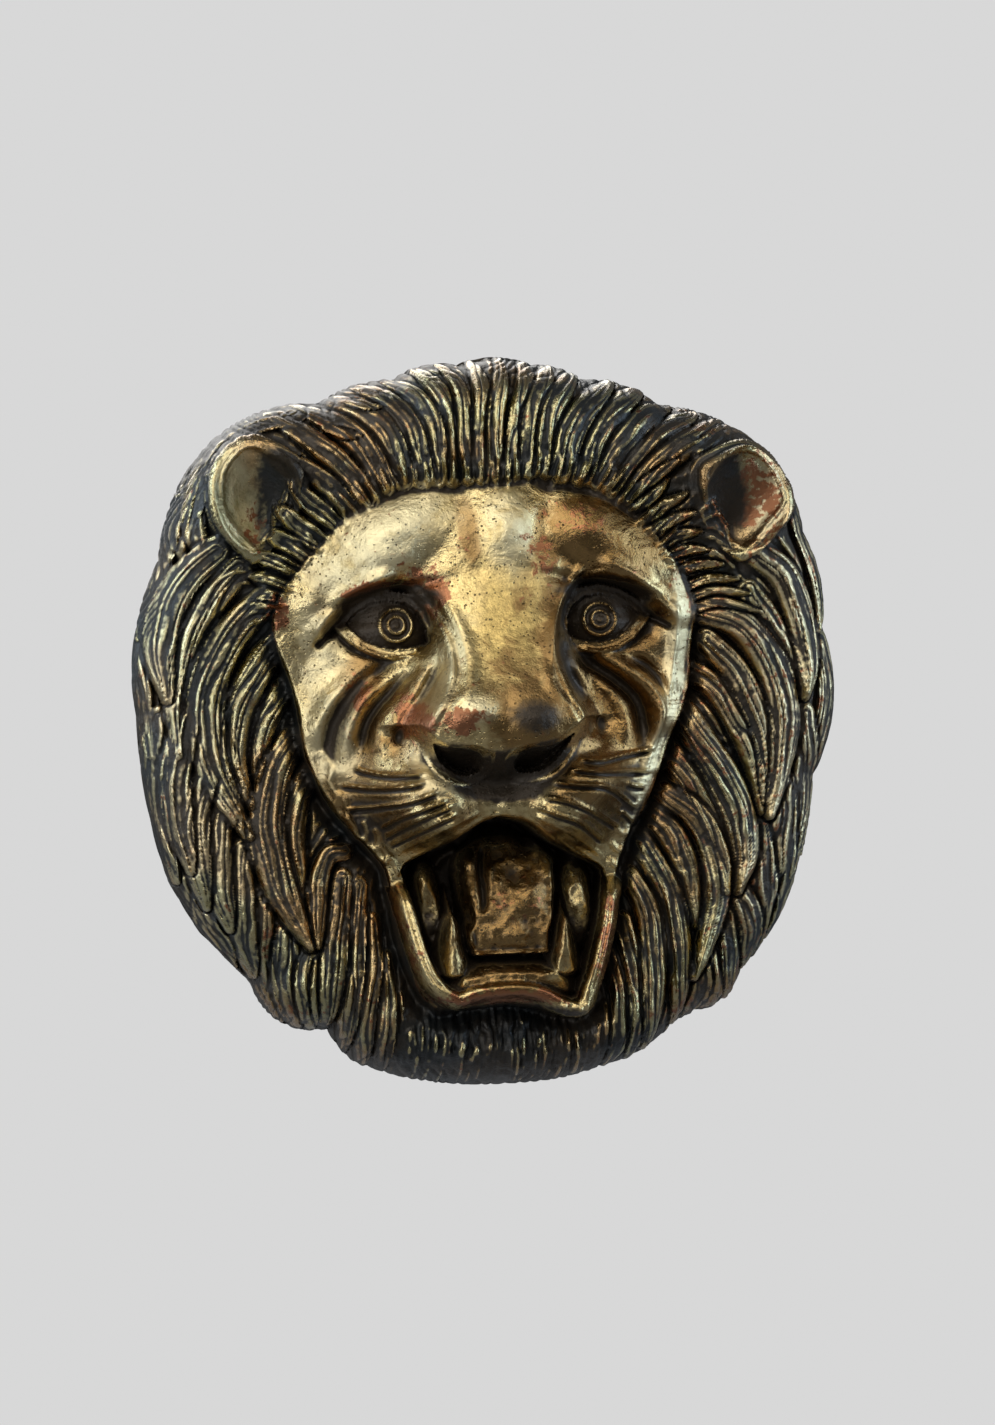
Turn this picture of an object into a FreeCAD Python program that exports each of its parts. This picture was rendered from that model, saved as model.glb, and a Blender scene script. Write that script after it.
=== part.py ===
import FreeCAD, Part
import math
import os

# Cast brass lion's-head mask for a door, with the studs and nuts that hold it.
# Millimetres. X is to the viewer's right, Z is up and the face looks along -Y.
# The back plane of the casting is y = 0 and the door is behind it, at +Y.
# The origin is the centre of the four studs on that plane.

# casting
GRID = 1.8                  # spacing of the points that carry the front surface
HALF_WIDTH = 101.7          # half the width of the patch of surface that is made
HALF_HEIGHT = 103.5
RIM_HEIGHT = 7.0            # thickness at the outline
WALL = 5.0                  # metal thickness of the hollow casting
RIM_WIDTH = 7.5             # width of the flat rim that lies on the door
INNER_STEP = 3              # every third grid line carries the inner surface
FRONT_LIMIT = 95.0          # beyond the most forward point
MANE_LEVEL = 34.0
MANE_SPREAD = 8.0           # how fast the mane rises from the rim
CHEEK_EDGE = 33.0
THROAT = 26.0

# cast lugs and studs
STUD_X = 58.0
STUD_Z = 48.0
LUG_RADIUS = 9.0
LUG_EMBED = 2.5
HOLE_RADIUS = 3.65          # M8 thread at its pitch radius, with a little play
HOLE_DEPTH = 15.0
HOLE_CHAMFER = 0.5
DOOR = 44.0
SHANK_RADIUS = 4.0
THREAD_RADIUS = 3.6
STUD_CHAMFER = 0.9

# washers and nuts
WASHER_BORE = 4.2
WASHER_RADIUS = 12.0
WASHER_THICK = 2.0
SPRING_BORE = 4.1
SPRING_RADIUS = 7.4
SPRING_THICK = 2.0
SPRING_GAP = 1.4
SPRING_SLANT = 25.0
NUT_FLATS = 13.0
NUT_HEX = 6.5
NUT_HEIGHT = 15.0
NUT_DOME = 6.2
NUT_BORE = 3.65
NUT_DEPTH = 11.5
NUT_CHAMFER = 1.0

# Outline of the casting: the tips of the outer locks. Each entry is the notch
# where one lock starts and the middle of the arc to the next notch.
SCALLOPS = [
    ((-42, 89), (-31.5, 94)),
    ((-22, 95), (-13, 98.8)),
    ((-4, 98.8), (7, 100.6)),
    ((17, 98.4), (24.5, 97.4)),
    ((30.5, 94), (43, 92.3)),
    ((52, 86.5), (69.5, 82)),
    ((84, 69.5), (88.8, 60)),
    ((91, 50.5), (95.3, 38)),
    ((96, 24.5), (98.8, 7)),
    ((92, -17), (89.8, -32)),
    ((86, -46), (80, -58)),
    ((70.5, -69.5), (66, -77.5)),
    ((57, -81), (53.7, -82.6)),
    ((50.5, -84.5), (42, -91.3)),
    ((31, -95.2), (19, -98.3)),
    ((7, -99.2), (-16, -98)),
    ((-38, -91.5), (-42, -87.3)),
    ((-45, -82.2), (-56.5, -80.5)),
    ((-65.5, -69), (-73.5, -60.5)),
    ((-79, -54.5), (-84, -46)),
    ((-87, -40.5), (-93, -14)),
    ((-94.3, 5), (-95.2, 18)),
    ((-93, 31.5), (-90.4, 40)),
    ((-87.2, 47), (-84.6, 59)),
    ((-79.5, 70), (-63, 85)),
]

# Hairline and the edges of the cheeks and jaw
FACE = [
    (0, 64), (-14, 65), (-24, 63.5), (-33, 59), (-41, 52), (-48, 44), (-54, 37),
    (-57, 30), (-56, 22), (-52, 14), (-50, 5), (-49, -4), (-47, -12), (-45, -20),
    (-41, -28), (-37, -36), (-34, -46), (-31, -56), (-28, -66), (-25, -76),
    (-20, -82), (0, -84), (20, -82), (24, -76), (27, -68), (30, -58), (33, -48),
    (35, -40), (38, -30), (41, -21), (45, -12), (48, -3), (52, 8), (53, 20),
    (54, 30), (51, 40), (45, 49), (40, 55), (33, 61), (25, 64), (14, 65),
]

MOUTH = [
    (-0.5, -25), (-6, -27), (-14, -31.5), (-26, -37.5), (-25.5, -42), (-23.5, -50),
    (-21.5, -58), (-19.5, -65), (-16, -69.5), (-11.5, -71.5), (-8, -70.5), (0, -69),
    (6, -69.5), (13, -72), (19, -74.5), (21.5, -72), (24.5, -64), (27, -55),
    (28.5, -47), (29.5, -40), (16, -33), (7, -27.5),
]

# Ears: outline of the rim, then centre, radii and lean of the cup inside it
EARS = [
    ([(-62, 44), (-67.5, 49), (-71.5, 56), (-72.5, 63), (-71, 70), (-66.5, 76),
      (-61, 77.5), (-55, 74.5), (-49.5, 70.5), (-47, 66), (-50, 58), (-56, 50)],
     (-60.5, 61, 11, 15.5, 12)),
    ([(69.5, 40), (74, 45), (78.5, 50.5), (83, 56), (82.5, 61), (80, 67),
      (75.5, 72), (70, 73.5), (62, 70.5), (56, 66), (56, 58), (61, 48)],
     (70, 57, 11.5, 15, -20)),
]
EAR_RISE = 13.0
EAR_CUP = 14.0

# Locks of the mane: run of the lock, half width, height above the mane
LOCKS = [
    ([(-9, 66), (-9.5, 80), (-12, 90), (-17, 97)], 3.0, 3.0),
    ([(-5, 66), (-5, 80), (-6, 90), (-10, 98)], 2.6, 3.0),
    ([(-1, 66), (-0.5, 80), (0, 90), (-1, 98)], 2.8, 3.0),
    ([(2.5, 66), (3, 80), (5, 90), (7, 99)], 2.6, 3.0),
    ([(7, 67), (9, 80), (12, 90), (13, 98)], 3.0, 2.5),
    ([(11.5, 68), (13, 80), (17, 90), (20, 97)], 3.0, 2.5),
    ([(16, 68), (18, 80), (23, 90), (28, 95)], 3.2, 2.5),
    ([(20, 67), (23, 76), (28, 84), (37, 91)], 3.4, 3.0),
    ([(25, 66), (30, 77), (38, 85), (46, 90)], 3.6, 2.6),
    ([(30, 65), (36, 74), (44, 81), (52, 85)], 3.6, 2.4),
    ([(34, 62), (41, 70), (49, 77), (59, 82)], 3.6, 2.4),
    ([(38, 59), (46, 67), (54, 73), (66, 80)], 3.4, 2.4),
    ([(-13, 66), (-14, 78), (-18, 88), (-24, 94)], 3.2, 2.5),
    ([(-17, 66), (-19, 76), (-24, 86), (-31, 92)], 3.4, 2.5),
    ([(-22, 65), (-25, 75), (-31, 84), (-40, 89)], 3.6, 2.5),
    ([(-27, 64), (-31, 72), (-38, 80), (-49, 88)], 3.6, 2.5),
    ([(-32, 61), (-37, 68), (-44, 75), (-56, 85)], 3.4, 2.4),
    ([(-50, 86), (-63, 83), (-73, 74), (-78, 62), (-80, 50)], 4.5, 3.0),
    ([(-74, 68), (-76, 58), (-75, 48)], 3.2, 2.0),
    ([(-88, 2), (-90, -10), (-88, -24), (-85, -38)], 4.2, 2.5),
    ([(-72, 47), (-82, 38), (-87, 25), (-86, 10)], 5.0, 4.0),
    ([(-66, 42), (-74, 34), (-80, 22), (-83, 8), (-83, -5)], 4.5, 3.5),
    ([(-61, 33), (-69, 25), (-75, 12), (-76, -2), (-73, -14), (-66, -27)], 5.0, 4.5),
    ([(-55, 24), (-62, 16), (-68, 4), (-69, -8), (-65, -20)], 4.6, 4.5),
    ([(-53, 13), (-58, 7), (-62, -2), (-63, -12)], 3.6, 3.0),
    ([(-81, 2), (-84, -10), (-84, -22), (-81, -36)], 4.2, 4.0),
    ([(-76, -12), (-79, -20), (-79.5, -32), (-77.5, -46)], 4.0, 4.0),
    ([(-71, -20), (-74, -28), (-74, -40), (-71, -52)], 4.2, 3.5),
    ([(-67, -32), (-68.5, -42), (-68, -54), (-65, -64)], 4.2, 3.0),
    ([(-62, -42), (-63.5, -50), (-63, -62), (-58, -78)], 4.2, 3.0),
    ([(-78, -46), (-75, -54), (-69, -62)], 3.6, 2.0),
    ([(-53, -4), (-58, -12), (-60.5, -25), (-58.5, -38), (-54, -48), (-50, -57)], 4.6, 5.0),
    ([(-49, -12), (-53, -20), (-54.5, -32), (-53, -44), (-50.5, -55)], 4.0, 4.5),
    ([(-56, -52), (-56, -60), (-55, -70), (-53, -80)], 3.8, 2.6),
    ([(-50, -60), (-51, -68), (-49, -80)], 3.6, 2.6),
    ([(-41, -37), (-45, -36), (-47.5, -42), (-47.5, -56)], 3.0, 4.0),
    ([(-41, -42), (-43, -52), (-44, -64), (-46, -80)], 3.6, 3.2),
    ([(-37, -42), (-38, -52), (-39, -64), (-41, -86)], 3.6, 3.0),
    ([(-33.5, -52), (-34, -64), (-36, -76), (-36, -90)], 3.4, 3.0),
    ([(-30, -62), (-30.5, -74), (-31, -84), (-31, -93)], 3.2, 2.6),
    ([(84, 62), (88, 52), (93, 40), (94, 30), (91, 23)], 4.6, 3.6),
    ([(93, 20), (94, 8), (92, -6), (88, -20), (88, -36)], 4.4, 3.0),
    ([(73, 43), (81, 38), (85.5, 27), (87, 14), (86, 7)], 4.6, 4.5),
    ([(71, 34), (77, 25), (81, 16), (85, 8)], 3.6, 3.0),
    ([(58, 28), (68, 24), (76, 14), (80, 1), (79, -12), (75.5, -25)], 4.8, 5.0),
    ([(59, 20), (67, 12), (73, 0), (75, -10), (74, -22)], 4.0, 4.0),
    ([(54, 13), (62, 7), (68.5, -4), (72, -14), (73, -25)], 3.8, 3.6),
    ([(86, -2), (86.5, -14), (85.5, -28), (83, -42)], 4.2, 3.4),
    ([(80, -18), (79, -30), (78, -42), (76, -54)], 4.2, 3.4),
    ([(52, 1), (57, -7), (63, -17), (67, -28), (68, -38), (66, -45)], 4.8, 5.0),
    ([(47, -8), (53, -16), (59, -27), (62, -37), (62.5, -46)], 4.6, 4.6),
    ([(72, -30), (73, -42), (74.5, -54), (73.5, -63)], 4.0, 3.0),
    ([(66, -47), (69, -56), (70, -67)], 3.6, 3.0),
    ([(62, -50), (64, -60), (65, -74)], 3.6, 2.8),
    ([(47, -21), (54, -27), (59, -37), (60, -47), (57, -58), (53.5, -68)], 3.6, 4.6),
    ([(42, -24), (48, -32), (52.5, -42), (54, -54)], 4.0, 3.2),
    ([(58, -58), (59, -68), (60, -80)], 3.6, 2.6),
    ([(39, -32), (44, -41), (47.5, -50), (49, -62), (49, -80)], 4.0, 3.6),
    ([(36, -40), (40, -48), (42, -58), (42, -70), (41, -86)], 3.8, 3.6),
    ([(34, -54), (36, -62), (38, -74), (37, -90)], 3.4, 3.0),
    ([(31, -64), (33, -74), (33, -84), (31, -93)], 3.2, 2.6),
]

# Folds that run from the inner corner of each eye down over the cheek
FOLDS = [
    ([(-13, 15), (-18, 9), (-21, 1), (-21, -9)], 2.6, 2.6),
    ([(-17, 17), (-25, 10), (-29, 1), (-28.5, -10)], 2.8, 2.8),
    ([(-24, 16), (-33, 9), (-38, 0), (-38, -9)], 3.0, 2.6),
    ([(-34, 17), (-42, 8), (-47, -1), (-45, -12)], 3.0, 2.0),
    ([(17, 16), (25, 11), (31, 3), (33, -8)], 2.8, 2.8),
    ([(25, 17), (35, 12), (42, 4), (42, -8)], 3.2, 3.0),
]
BROWS = [
    [(-47, 24), (-40, 31), (-31, 38), (-24, 40.5), (-18, 33), (-13.5, 24)],
    [(51, 25), (44, 33), (36, 38.5), (27, 42.5), (20, 33), (16.5, 23)],
]
BROW_RISE = 2.6
EYES = [(-27, 26.5, -1), (29, 27, 1)]      # centre and the side the outer corner is on

BRIDGE_LEVEL = [(-14, 60), (-8, 70), (-3, 74), (2, 72.5), (10, 66), (18, 60.5), (27, 55.5),
                (36, 51.5), (46, 48.5), (56, 44.5), (66, 38)]
BRIDGE_HALF = [(-6, 18.5), (0, 17.5), (5, 14.5), (10, 12), (18, 11.5), (28, 14), (38, 21), (44, 30)]
BRIDGE_MIDDLE = [(-5, 0.6), (20, 2.2), (40, 1.5)]
NOSE_EDGE = [(-20, -1), (-14, -5), (-7, -5.5), (-1.5, -9.5), (3, -6.5), (10, -5.2), (16, -3), (20, 1)]
NOSTRILS = [(-12.5, -8.2, 6.5, 4.5, -10), (8.5, -8.6, 6.5, 4.2, 10)]
LIP_LEVEL = [(-76, 50), (-66, 49), (-50, 45), (-40, 43), (-30, 58), (-24, 61)]
TONGUE_LEVEL = [(-64, 22), (-61.5, 40), (-60, 45), (-52, 45), (-42, 40), (-34, 32), (-28, 24)]
CANINES = [-13.0, 16.8]
CANINE_HALF = [(-66, 1.8), (-50, 0.4)]


def clamp(value):
    return min(1.0, max(0.0, value))


def ramp(value):
    value = clamp(value)
    return value * value * (3 - 2 * value)


def soft_max(a, b, blend):
    share = clamp(0.5 + 0.5 * (a - b) / blend)
    return b + (a - b) * share + blend * share * (1 - share)


def soft_min(a, b, blend):
    return -soft_max(-a, -b, blend)


def table(value, pairs):
    """Value read off a list of (position, value) pairs."""
    result = pairs[0][1]
    for (start, low), (end, high) in zip(pairs[:-1], pairs[1:]):
        result += (high - low) * clamp((value - start) / (end - start))
    return result


def oval(x, z, cx, cz, rx, rz, turn=0.0):
    """Squared distance from the centre of an oval, 1 on its edge."""
    c = math.cos(math.radians(turn))
    s = math.sin(math.radians(turn))
    u = ((x - cx) * c + (z - cz) * s) / rx
    v = (-(x - cx) * s + (z - cz) * c) / rz
    return u * u + v * v


def bump(x, z, cx, cz, rx, rz, turn=0.0):
    return math.exp(-oval(x, z, cx, cz, rx, rz, turn))


def dome(x, z, cx, cz, rx, rz, turn=0.0, flat=2.0):
    """Cap of an ellipsoid, 1 at the centre and 0 at the edge."""
    q = oval(x, z, cx, cz, rx, rz, turn) ** (flat / 2.0)
    return math.sqrt(max(0.0, 1 - q)) - 2.0 * max(0.0, q - 1)


def smooth_line(points, pieces=3):
    """Catmull-Rom curve through the points."""
    ends = [(2 * points[0][0] - points[1][0], 2 * points[0][1] - points[1][1])]
    last = [(2 * points[-1][0] - points[-2][0], 2 * points[-1][1] - points[-2][1])]
    full = ends + list(points) + last
    out = []
    for i in range(1, len(full) - 2):
        p0, p1, p2, p3 = full[i - 1], full[i], full[i + 1], full[i + 2]
        for j in range(pieces):
            t = j / pieces
            spot = []
            for k in (0, 1):
                linear = (p2[k] - p0[k]) * t
                square = (2 * p0[k] - 5 * p1[k] + 4 * p2[k] - p3[k]) * t * t
                cube = (3 * p1[k] - p0[k] - 3 * p2[k] + p3[k]) * t * t * t
                spot.append(0.5 * (2 * p1[k] + linear + square + cube))
            out.append(tuple(spot))
    out.append(tuple(points[-1]))
    return out


class Line:
    """A run of straight pieces with a quick distance test."""

    def __init__(self, points, reach=1e9):
        self.reach = reach
        self.low_x = min(p[0] for p in points) - reach
        self.high_x = max(p[0] for p in points) + reach
        self.low_z = min(p[1] for p in points) - reach
        self.high_z = max(p[1] for p in points) + reach
        self.parts = []
        run = 0.0
        for a, b in zip(points[:-1], points[1:]):
            length = math.hypot(b[0] - a[0], b[1] - a[1])
            self.parts.append((a[0], a[1], b[0] - a[0], b[1] - a[1], length, run))
            run += length
        self.total = run

    def near(self, x, z):
        return self.low_x < x < self.high_x and self.low_z < z < self.high_z

    def measure(self, x, z):
        """Distance to the line and the share of its length at the nearest point."""
        best = 1e9
        along = 0.0
        for ax, az, dx, dz, length, run in self.parts:
            t = ((x - ax) * dx + (z - az) * dz) / (length * length)
            t = min(1.0, max(0.0, t))
            d = math.hypot(x - ax - t * dx, z - az - t * dz)
            if d < best:
                best = d
                along = (run + t * length) / self.total
        return best, along


class Region:
    """A closed outline. depth() is positive inside it."""

    def __init__(self, points):
        self.points = points
        self.line = Line(points + [points[0]])

    def depth(self, x, z):
        inside = False
        closed = self.points + [self.points[0]]
        for (ax, az), (bx, bz) in zip(closed[:-1], closed[1:]):
            if (az > z) != (bz > z) and x < (bx - ax) * (z - az) / (bz - az) + ax:
                inside = not inside
        distance = self.line.measure(x, z)[0]
        return distance if inside else -distance


def outline_wire(level):
    """The scalloped outline as arcs in the plane y = level."""
    arcs = []
    for i, (notch, middle) in enumerate(SCALLOPS):
        following = SCALLOPS[(i + 1) % len(SCALLOPS)][0]
        start = FreeCAD.Vector(notch[0], level, notch[1])
        mid = FreeCAD.Vector(middle[0], level, middle[1])
        end = FreeCAD.Vector(following[0], level, following[1])
        arcs.append(Part.Arc(start, mid, end).toShape())
    return Part.Wire(arcs)


def outline_points(count):
    """Points spaced along each arc of the outline."""
    points = []
    for edge in outline_wire(0.0).Edges:
        for spot in edge.discretize(Number=count + 1)[:-1]:
            points.append((spot.x, spot.z))
    return points


def inset_wire(level, inset):
    """A smooth closed curve that stays the rim's width inside the outline."""
    spots = []
    for notch, middle in SCALLOPS:
        distance = math.hypot(notch[0], notch[1])
        share = (distance - inset) / distance
        spots.append(FreeCAD.Vector(notch[0] * share, level, notch[1] * share))
    curve = Part.BSplineCurve()
    curve.interpolate(spots, PeriodicFlag=True)
    return Part.Wire([curve.toShape()])


def mane_level(z, rim):
    """Height of the mane under its locks, from the distance in from the rim."""
    top = MANE_LEVEL + 9 * ramp((z - 30) / 45.0) + 5 * ramp((-z - 55) / 30.0)
    return RIM_HEIGHT + (top - RIM_HEIGHT) * (1 - math.exp(-rim / MANE_SPREAD))


def lock_level(x, z, base, rim):
    """Top of the locks that pass over a point."""
    level = base
    for line, half, rise in LOCK_LINES:
        if not line.near(x, z):
            continue
        distance, along = line.measure(x, z)
        width = max(0.3, half * (0.75 + 0.6 * along - 0.95 * along ** 3))
        crown = max(0.0, 1 - (distance / width) ** 2)
        lift = rise * (0.6 + 0.4 * along) * math.sqrt(crown) * ramp(crown * 3) * ramp(rim / 4.0)
        level = max(level, base + lift)
    return level


def skin_level(x, z, inside):
    """Forehead and cheeks, falling away at the hairline."""
    level = CHEEK_EDGE - 7 * ramp(-inside / 7.0)
    level = soft_max(level, 27 + 19.5 * dome(x, z, 0, 38, 57, 34, flat=2.4), 5)
    level += 2.2 * bump(x, z, -22, 50, 17, 9, 25)
    level += 2.4 * bump(x, z, 20, 52, 15, 9, -30)
    level += 1.2 * bump(x, z, 3, 50, 6, 12)
    level = soft_max(level, 24 + 18 * dome(x, z, -33, 2, 20, 26, 8, 2.4), 5)
    return soft_max(level, 24 + 18 * dome(x, z, 34, 2, 19, 26, -8, 2.4), 5)


def bridge_level(x, z):
    """Broad flat bridge that runs forward to the tip of the nose."""
    middle = table(z, BRIDGE_MIDDLE)
    side = max(0.0, abs(x - middle) - table(z, BRIDGE_HALF))
    edge = table(x, NOSE_EDGE)
    under = max(0.0, edge - z)
    return table(max(z, edge), BRIDGE_LEVEL) - 1.5 * side - 0.012 * (x - middle) ** 2 - 1.5 * under


def muzzle_level(x, z):
    """The blunt muzzle and its two whisker pads."""
    level = 36 + 25 * dome(x, z, 0, -14, 42, 27, flat=2.6)
    left = 40 + 19 * dome(x, z, -17, -19, 20, 15, -20, 2.2)
    right = 40 + 19 * dome(x, z, 17, -19, 20, 15, 20, 2.2)
    return soft_max(soft_max(left, right, 3), level, 5)


def jaw_level(x, z):
    return 26 + 24 * dome(x, z, 1, -57, 31.5, 24, flat=3.4)


def mouth_floor(x, z):
    """Throat, tongue, front teeth and the two lower canines."""
    level = THROAT
    tongue = table(z, TONGUE_LEVEL) - 0.9 * max(0.0, abs(x - 2.4) - 9.5) ** 1.5
    level = soft_max(level, tongue, 1.5)
    gum = 48 - 1.6 * max(0.0, abs(z + 67.3) - 1.6) - 1.5 * max(0.0, abs(x - 2) - 13)
    level = soft_max(level, gum - 0.010 * (x - 2) ** 2, 1.5)
    for middle in CANINES:
        across = max(0.0, abs(x - middle - 0.05 * (z + 58)) - table(z, CANINE_HALF))
        tooth = 49 - 1.2 * ramp((-52 - z) / 12.0) - 1.6 * across ** 1.6
        tooth -= 4.0 * max(0.0, z + 50.5) + 3.0 * max(0.0, -66 - z)
        level = soft_max(level, tooth, 1.0)
    return level


def add_eyes(x, z, level):
    for cx, cz, side in EYES:
        level -= 9 * math.exp(-oval(x, z, cx + side, cz + 1.0, 15, 9.5, -4 * side) ** 2)
        ball = 45.0 - 0.055 * ((x - cx) ** 2 + (z - cz) ** 2) - 0.12 * side * (x - cx)
        level += (ball - level) * math.exp(-oval(x, z, cx, cz, 11.5, 7.2) ** 3)
    return level


def add_ridges(x, z, level, lines, ease):
    for line, half, rise in lines:
        if line.near(x, z):
            distance, along = line.measure(x, z)
            ends = ramp(along * ease) * ramp((1 - along) * ease)
            level += rise * math.exp(-(distance / half) ** 2) * ends
    return level


def add_ears(x, z, level, rim):
    for region, (cx, cz, rx, rz, turn) in EAR_REGIONS:
        depth = region.depth(x, z)
        if depth < -9:
            continue
        top = mane_level(z, rim) + EAR_RISE
        cup = top - EAR_CUP * clamp(1 - oval(x, z, cx, cz, rx, rz, turn)) ** 0.7
        ear = soft_min(cup, top - 3.0 * max(0.0, 1.0 - depth), 2.0)
        level = ear if depth > 2 else soft_max(level, ear, 1.5)
    return level


def front_level(x, z):
    """Height of the front surface above the back plane."""
    rim = OUTLINE.depth(x, z)
    inside = FACE_REGION.depth(x, z)
    level = lock_level(x, z, mane_level(z, rim), rim)
    level -= 5 * math.exp(-(inside / 4.0) ** 2) * ramp((60 - z) / 20.0)
    skin = soft_max(skin_level(x, z, inside), bridge_level(x, z), 3)
    skin = soft_max(skin, muzzle_level(x, z), 7)
    skin = soft_max(skin, jaw_level(x, z), 4)
    level = soft_max(level, skin - 30 * ramp(-inside / 8.0), 2.5)
    level = add_ridges(x, z, level, FOLD_LINES, 4)
    level -= 1.6 * bump(x, z, -2.5, 56, 3.2, 14)
    for cx, cz, rx, rz, turn in NOSTRILS:
        level -= 7.0 * bump(x, z, cx, cz, rx, rz, turn)
    level = add_eyes(x, z, level)
    level = add_ridges(x, z, level, BROW_LINES, 3)
    mouth = MOUTH_REGION.depth(x, z)
    lip = table(z, LIP_LEVEL) - 2.2 * max(0.0, abs(-mouth - 1.2) - 1.2)
    level = soft_max(level, lip, 2)
    cut = ramp(mouth / 2.2)
    level = level * (1 - cut) + soft_min(level, mouth_floor(x, z), 0.5) * cut
    return add_ears(x, z, level, rim)


OUTLINE = Region(outline_points(4))
FACE_REGION = Region(FACE)
MOUTH_REGION = Region(MOUTH)
EAR_REGIONS = [(Region(smooth_line(rim + [rim[0]])[:-1]), cup) for rim, cup in EARS]
LOCK_LINES = [(Line(smooth_line(run), half * 1.3), half, rise) for run, half, rise in LOCKS]
FOLD_LINES = [(Line(smooth_line(run), half * 3), half, rise) for run, half, rise in FOLDS]
BROW_LINES = [(Line(smooth_line(run), 9.0), 3.2, BROW_RISE) for run in BROWS]


def knot_places(count):
    """Where each pole of a clamped cubic spline sits, in steps."""
    places = [0.0, 1.0 / 3.0]
    places += [float(i) for i in range(1, count - 3)]
    return places + [count - 3 - 1.0 / 3.0, float(count - 3)]


def pole_positions(half, step):
    count = int(round(2 * half / step)) + 3
    return [-half + step * place for place in knot_places(count)]


def spline_face(xs, zs, levels):
    """Cubic surface over the grid, pulled towards the given heights."""
    poles = []
    for x, column in zip(xs, levels):
        poles.append([FreeCAD.Vector(x, -h, z) for z, h in zip(zs, column)])
    knots_x = [float(i) for i in range(len(xs) - 2)]
    knots_z = [float(i) for i in range(len(zs) - 2)]
    mults_x = [4] + [1] * (len(knots_x) - 2) + [4]
    mults_z = [4] + [1] * (len(knots_z) - 2) + [4]
    surface = Part.BSplineSurface()
    surface.buildFromPolesMultsKnots(poles, mults_x, mults_z, knots_x, knots_z, False, False, 3, 3)
    return surface.toShape()


def inner_levels(levels, picks_x, picks_z):
    """Lowest front height around each point, less the wall."""
    reach = 3
    inner = []
    for i in picks_x:
        column = []
        for j in picks_z:
            low = 1e9
            for a in range(max(0, i - reach), min(len(levels), i + reach + 1)):
                low = min(low, min(levels[a][max(0, j - reach):j + reach + 1]))
            column.append(max(1.0, low - WALL))
        inner.append(column)
    return inner


def under_surface(face, wire, back):
    """Solid between a surface and the plane y = back, inside a wire drawn in front."""
    block = face.extrude(FreeCAD.Vector(0, 2 * FRONT_LIMIT, 0))
    plug = Part.Face(wire).extrude(FreeCAD.Vector(0, FRONT_LIMIT + back, 0))
    return plug.common(block).Solids[0]


def stud_places():
    names = ["top_left", "top_right", "bottom_left", "bottom_right"]
    spots = [(-STUD_X, STUD_Z), (STUD_X, STUD_Z), (-STUD_X, -STUD_Z), (STUD_X, -STUD_Z)]
    return list(zip(names, spots))


def turned(profile, x, z):
    """Solid of revolution from (radius, y) corners about a line along Y."""
    corners = [FreeCAD.Vector(x + r, y, z) for r, y in profile]
    wire = Part.makePolygon(corners + [corners[0]])
    axis_point = FreeCAD.Vector(x, 0, z)
    return Part.Face(wire).revolve(axis_point, FreeCAD.Vector(0, 1, 0), 360)


def tapped_hole(x, z):
    mouth = HOLE_RADIUS + HOLE_CHAMFER
    return turned([(0, -HOLE_DEPTH), (HOLE_RADIUS, -HOLE_DEPTH), (HOLE_RADIUS, -HOLE_CHAMFER),
                   (mouth, 0), (mouth, 1), (0, 1)], x, z)


def lion_head():
    xs = pole_positions(HALF_WIDTH, GRID)
    zs = pole_positions(HALF_HEIGHT, GRID)
    levels = [[front_level(x, z) for z in zs] for x in xs]
    casting = under_surface(spline_face(xs, zs, levels), outline_wire(-FRONT_LIMIT), 0.0)
    inner_x = pole_positions(HALF_WIDTH, GRID * INNER_STEP)
    inner_z = pole_positions(HALF_HEIGHT, GRID * INNER_STEP)
    picks_x = [min(range(len(xs)), key=lambda i: abs(xs[i] - x)) for x in inner_x]
    picks_z = [min(range(len(zs)), key=lambda i: abs(zs[i] - z)) for z in inner_z]
    inner = inner_levels(levels, picks_x, picks_z)
    hollow = under_surface(spline_face(inner_x, inner_z, inner), inset_wire(-FRONT_LIMIT, RIM_WIDTH), 1.0)
    casting = casting.cut(hollow)
    for name, (x, z) in stud_places():
        i = min(range(len(xs)), key=lambda k: abs(xs[k] - x))
        j = min(range(len(zs)), key=lambda k: abs(zs[k] - z))
        reach = inner_levels(levels, [i], [j])[0][0] + LUG_EMBED
        lug = Part.makeCylinder(LUG_RADIUS, reach, FreeCAD.Vector(x, 0, z), FreeCAD.Vector(0, -1, 0))
        casting = casting.fuse(lug)
    for name, (x, z) in stud_places():
        casting = casting.cut(tapped_hole(x, z))
    return casting.Solids[0]


def stud(x, z):
    """M8 stud: thread in the lug, plain shank through the door, thread for the nut."""
    nut_face = DOOR + WASHER_THICK + SPRING_THICK
    tip = nut_face + NUT_DEPTH - 1.0
    end = THREAD_RADIUS - STUD_CHAMFER
    return turned([(0, -HOLE_DEPTH), (end, -HOLE_DEPTH), (THREAD_RADIUS, -HOLE_DEPTH + STUD_CHAMFER),
                   (THREAD_RADIUS, 0), (SHANK_RADIUS, 0), (SHANK_RADIUS, DOOR), (THREAD_RADIUS, DOOR),
                   (THREAD_RADIUS, tip - STUD_CHAMFER), (end, tip), (0, tip)], x, z)


def washer(x, z):
    edge = 0.3
    low = DOOR
    high = DOOR + WASHER_THICK
    return turned([(WASHER_BORE, low), (WASHER_RADIUS, low), (WASHER_RADIUS, high - edge),
                   (WASHER_RADIUS - edge, high), (WASHER_BORE, high)], x, z)


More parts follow.
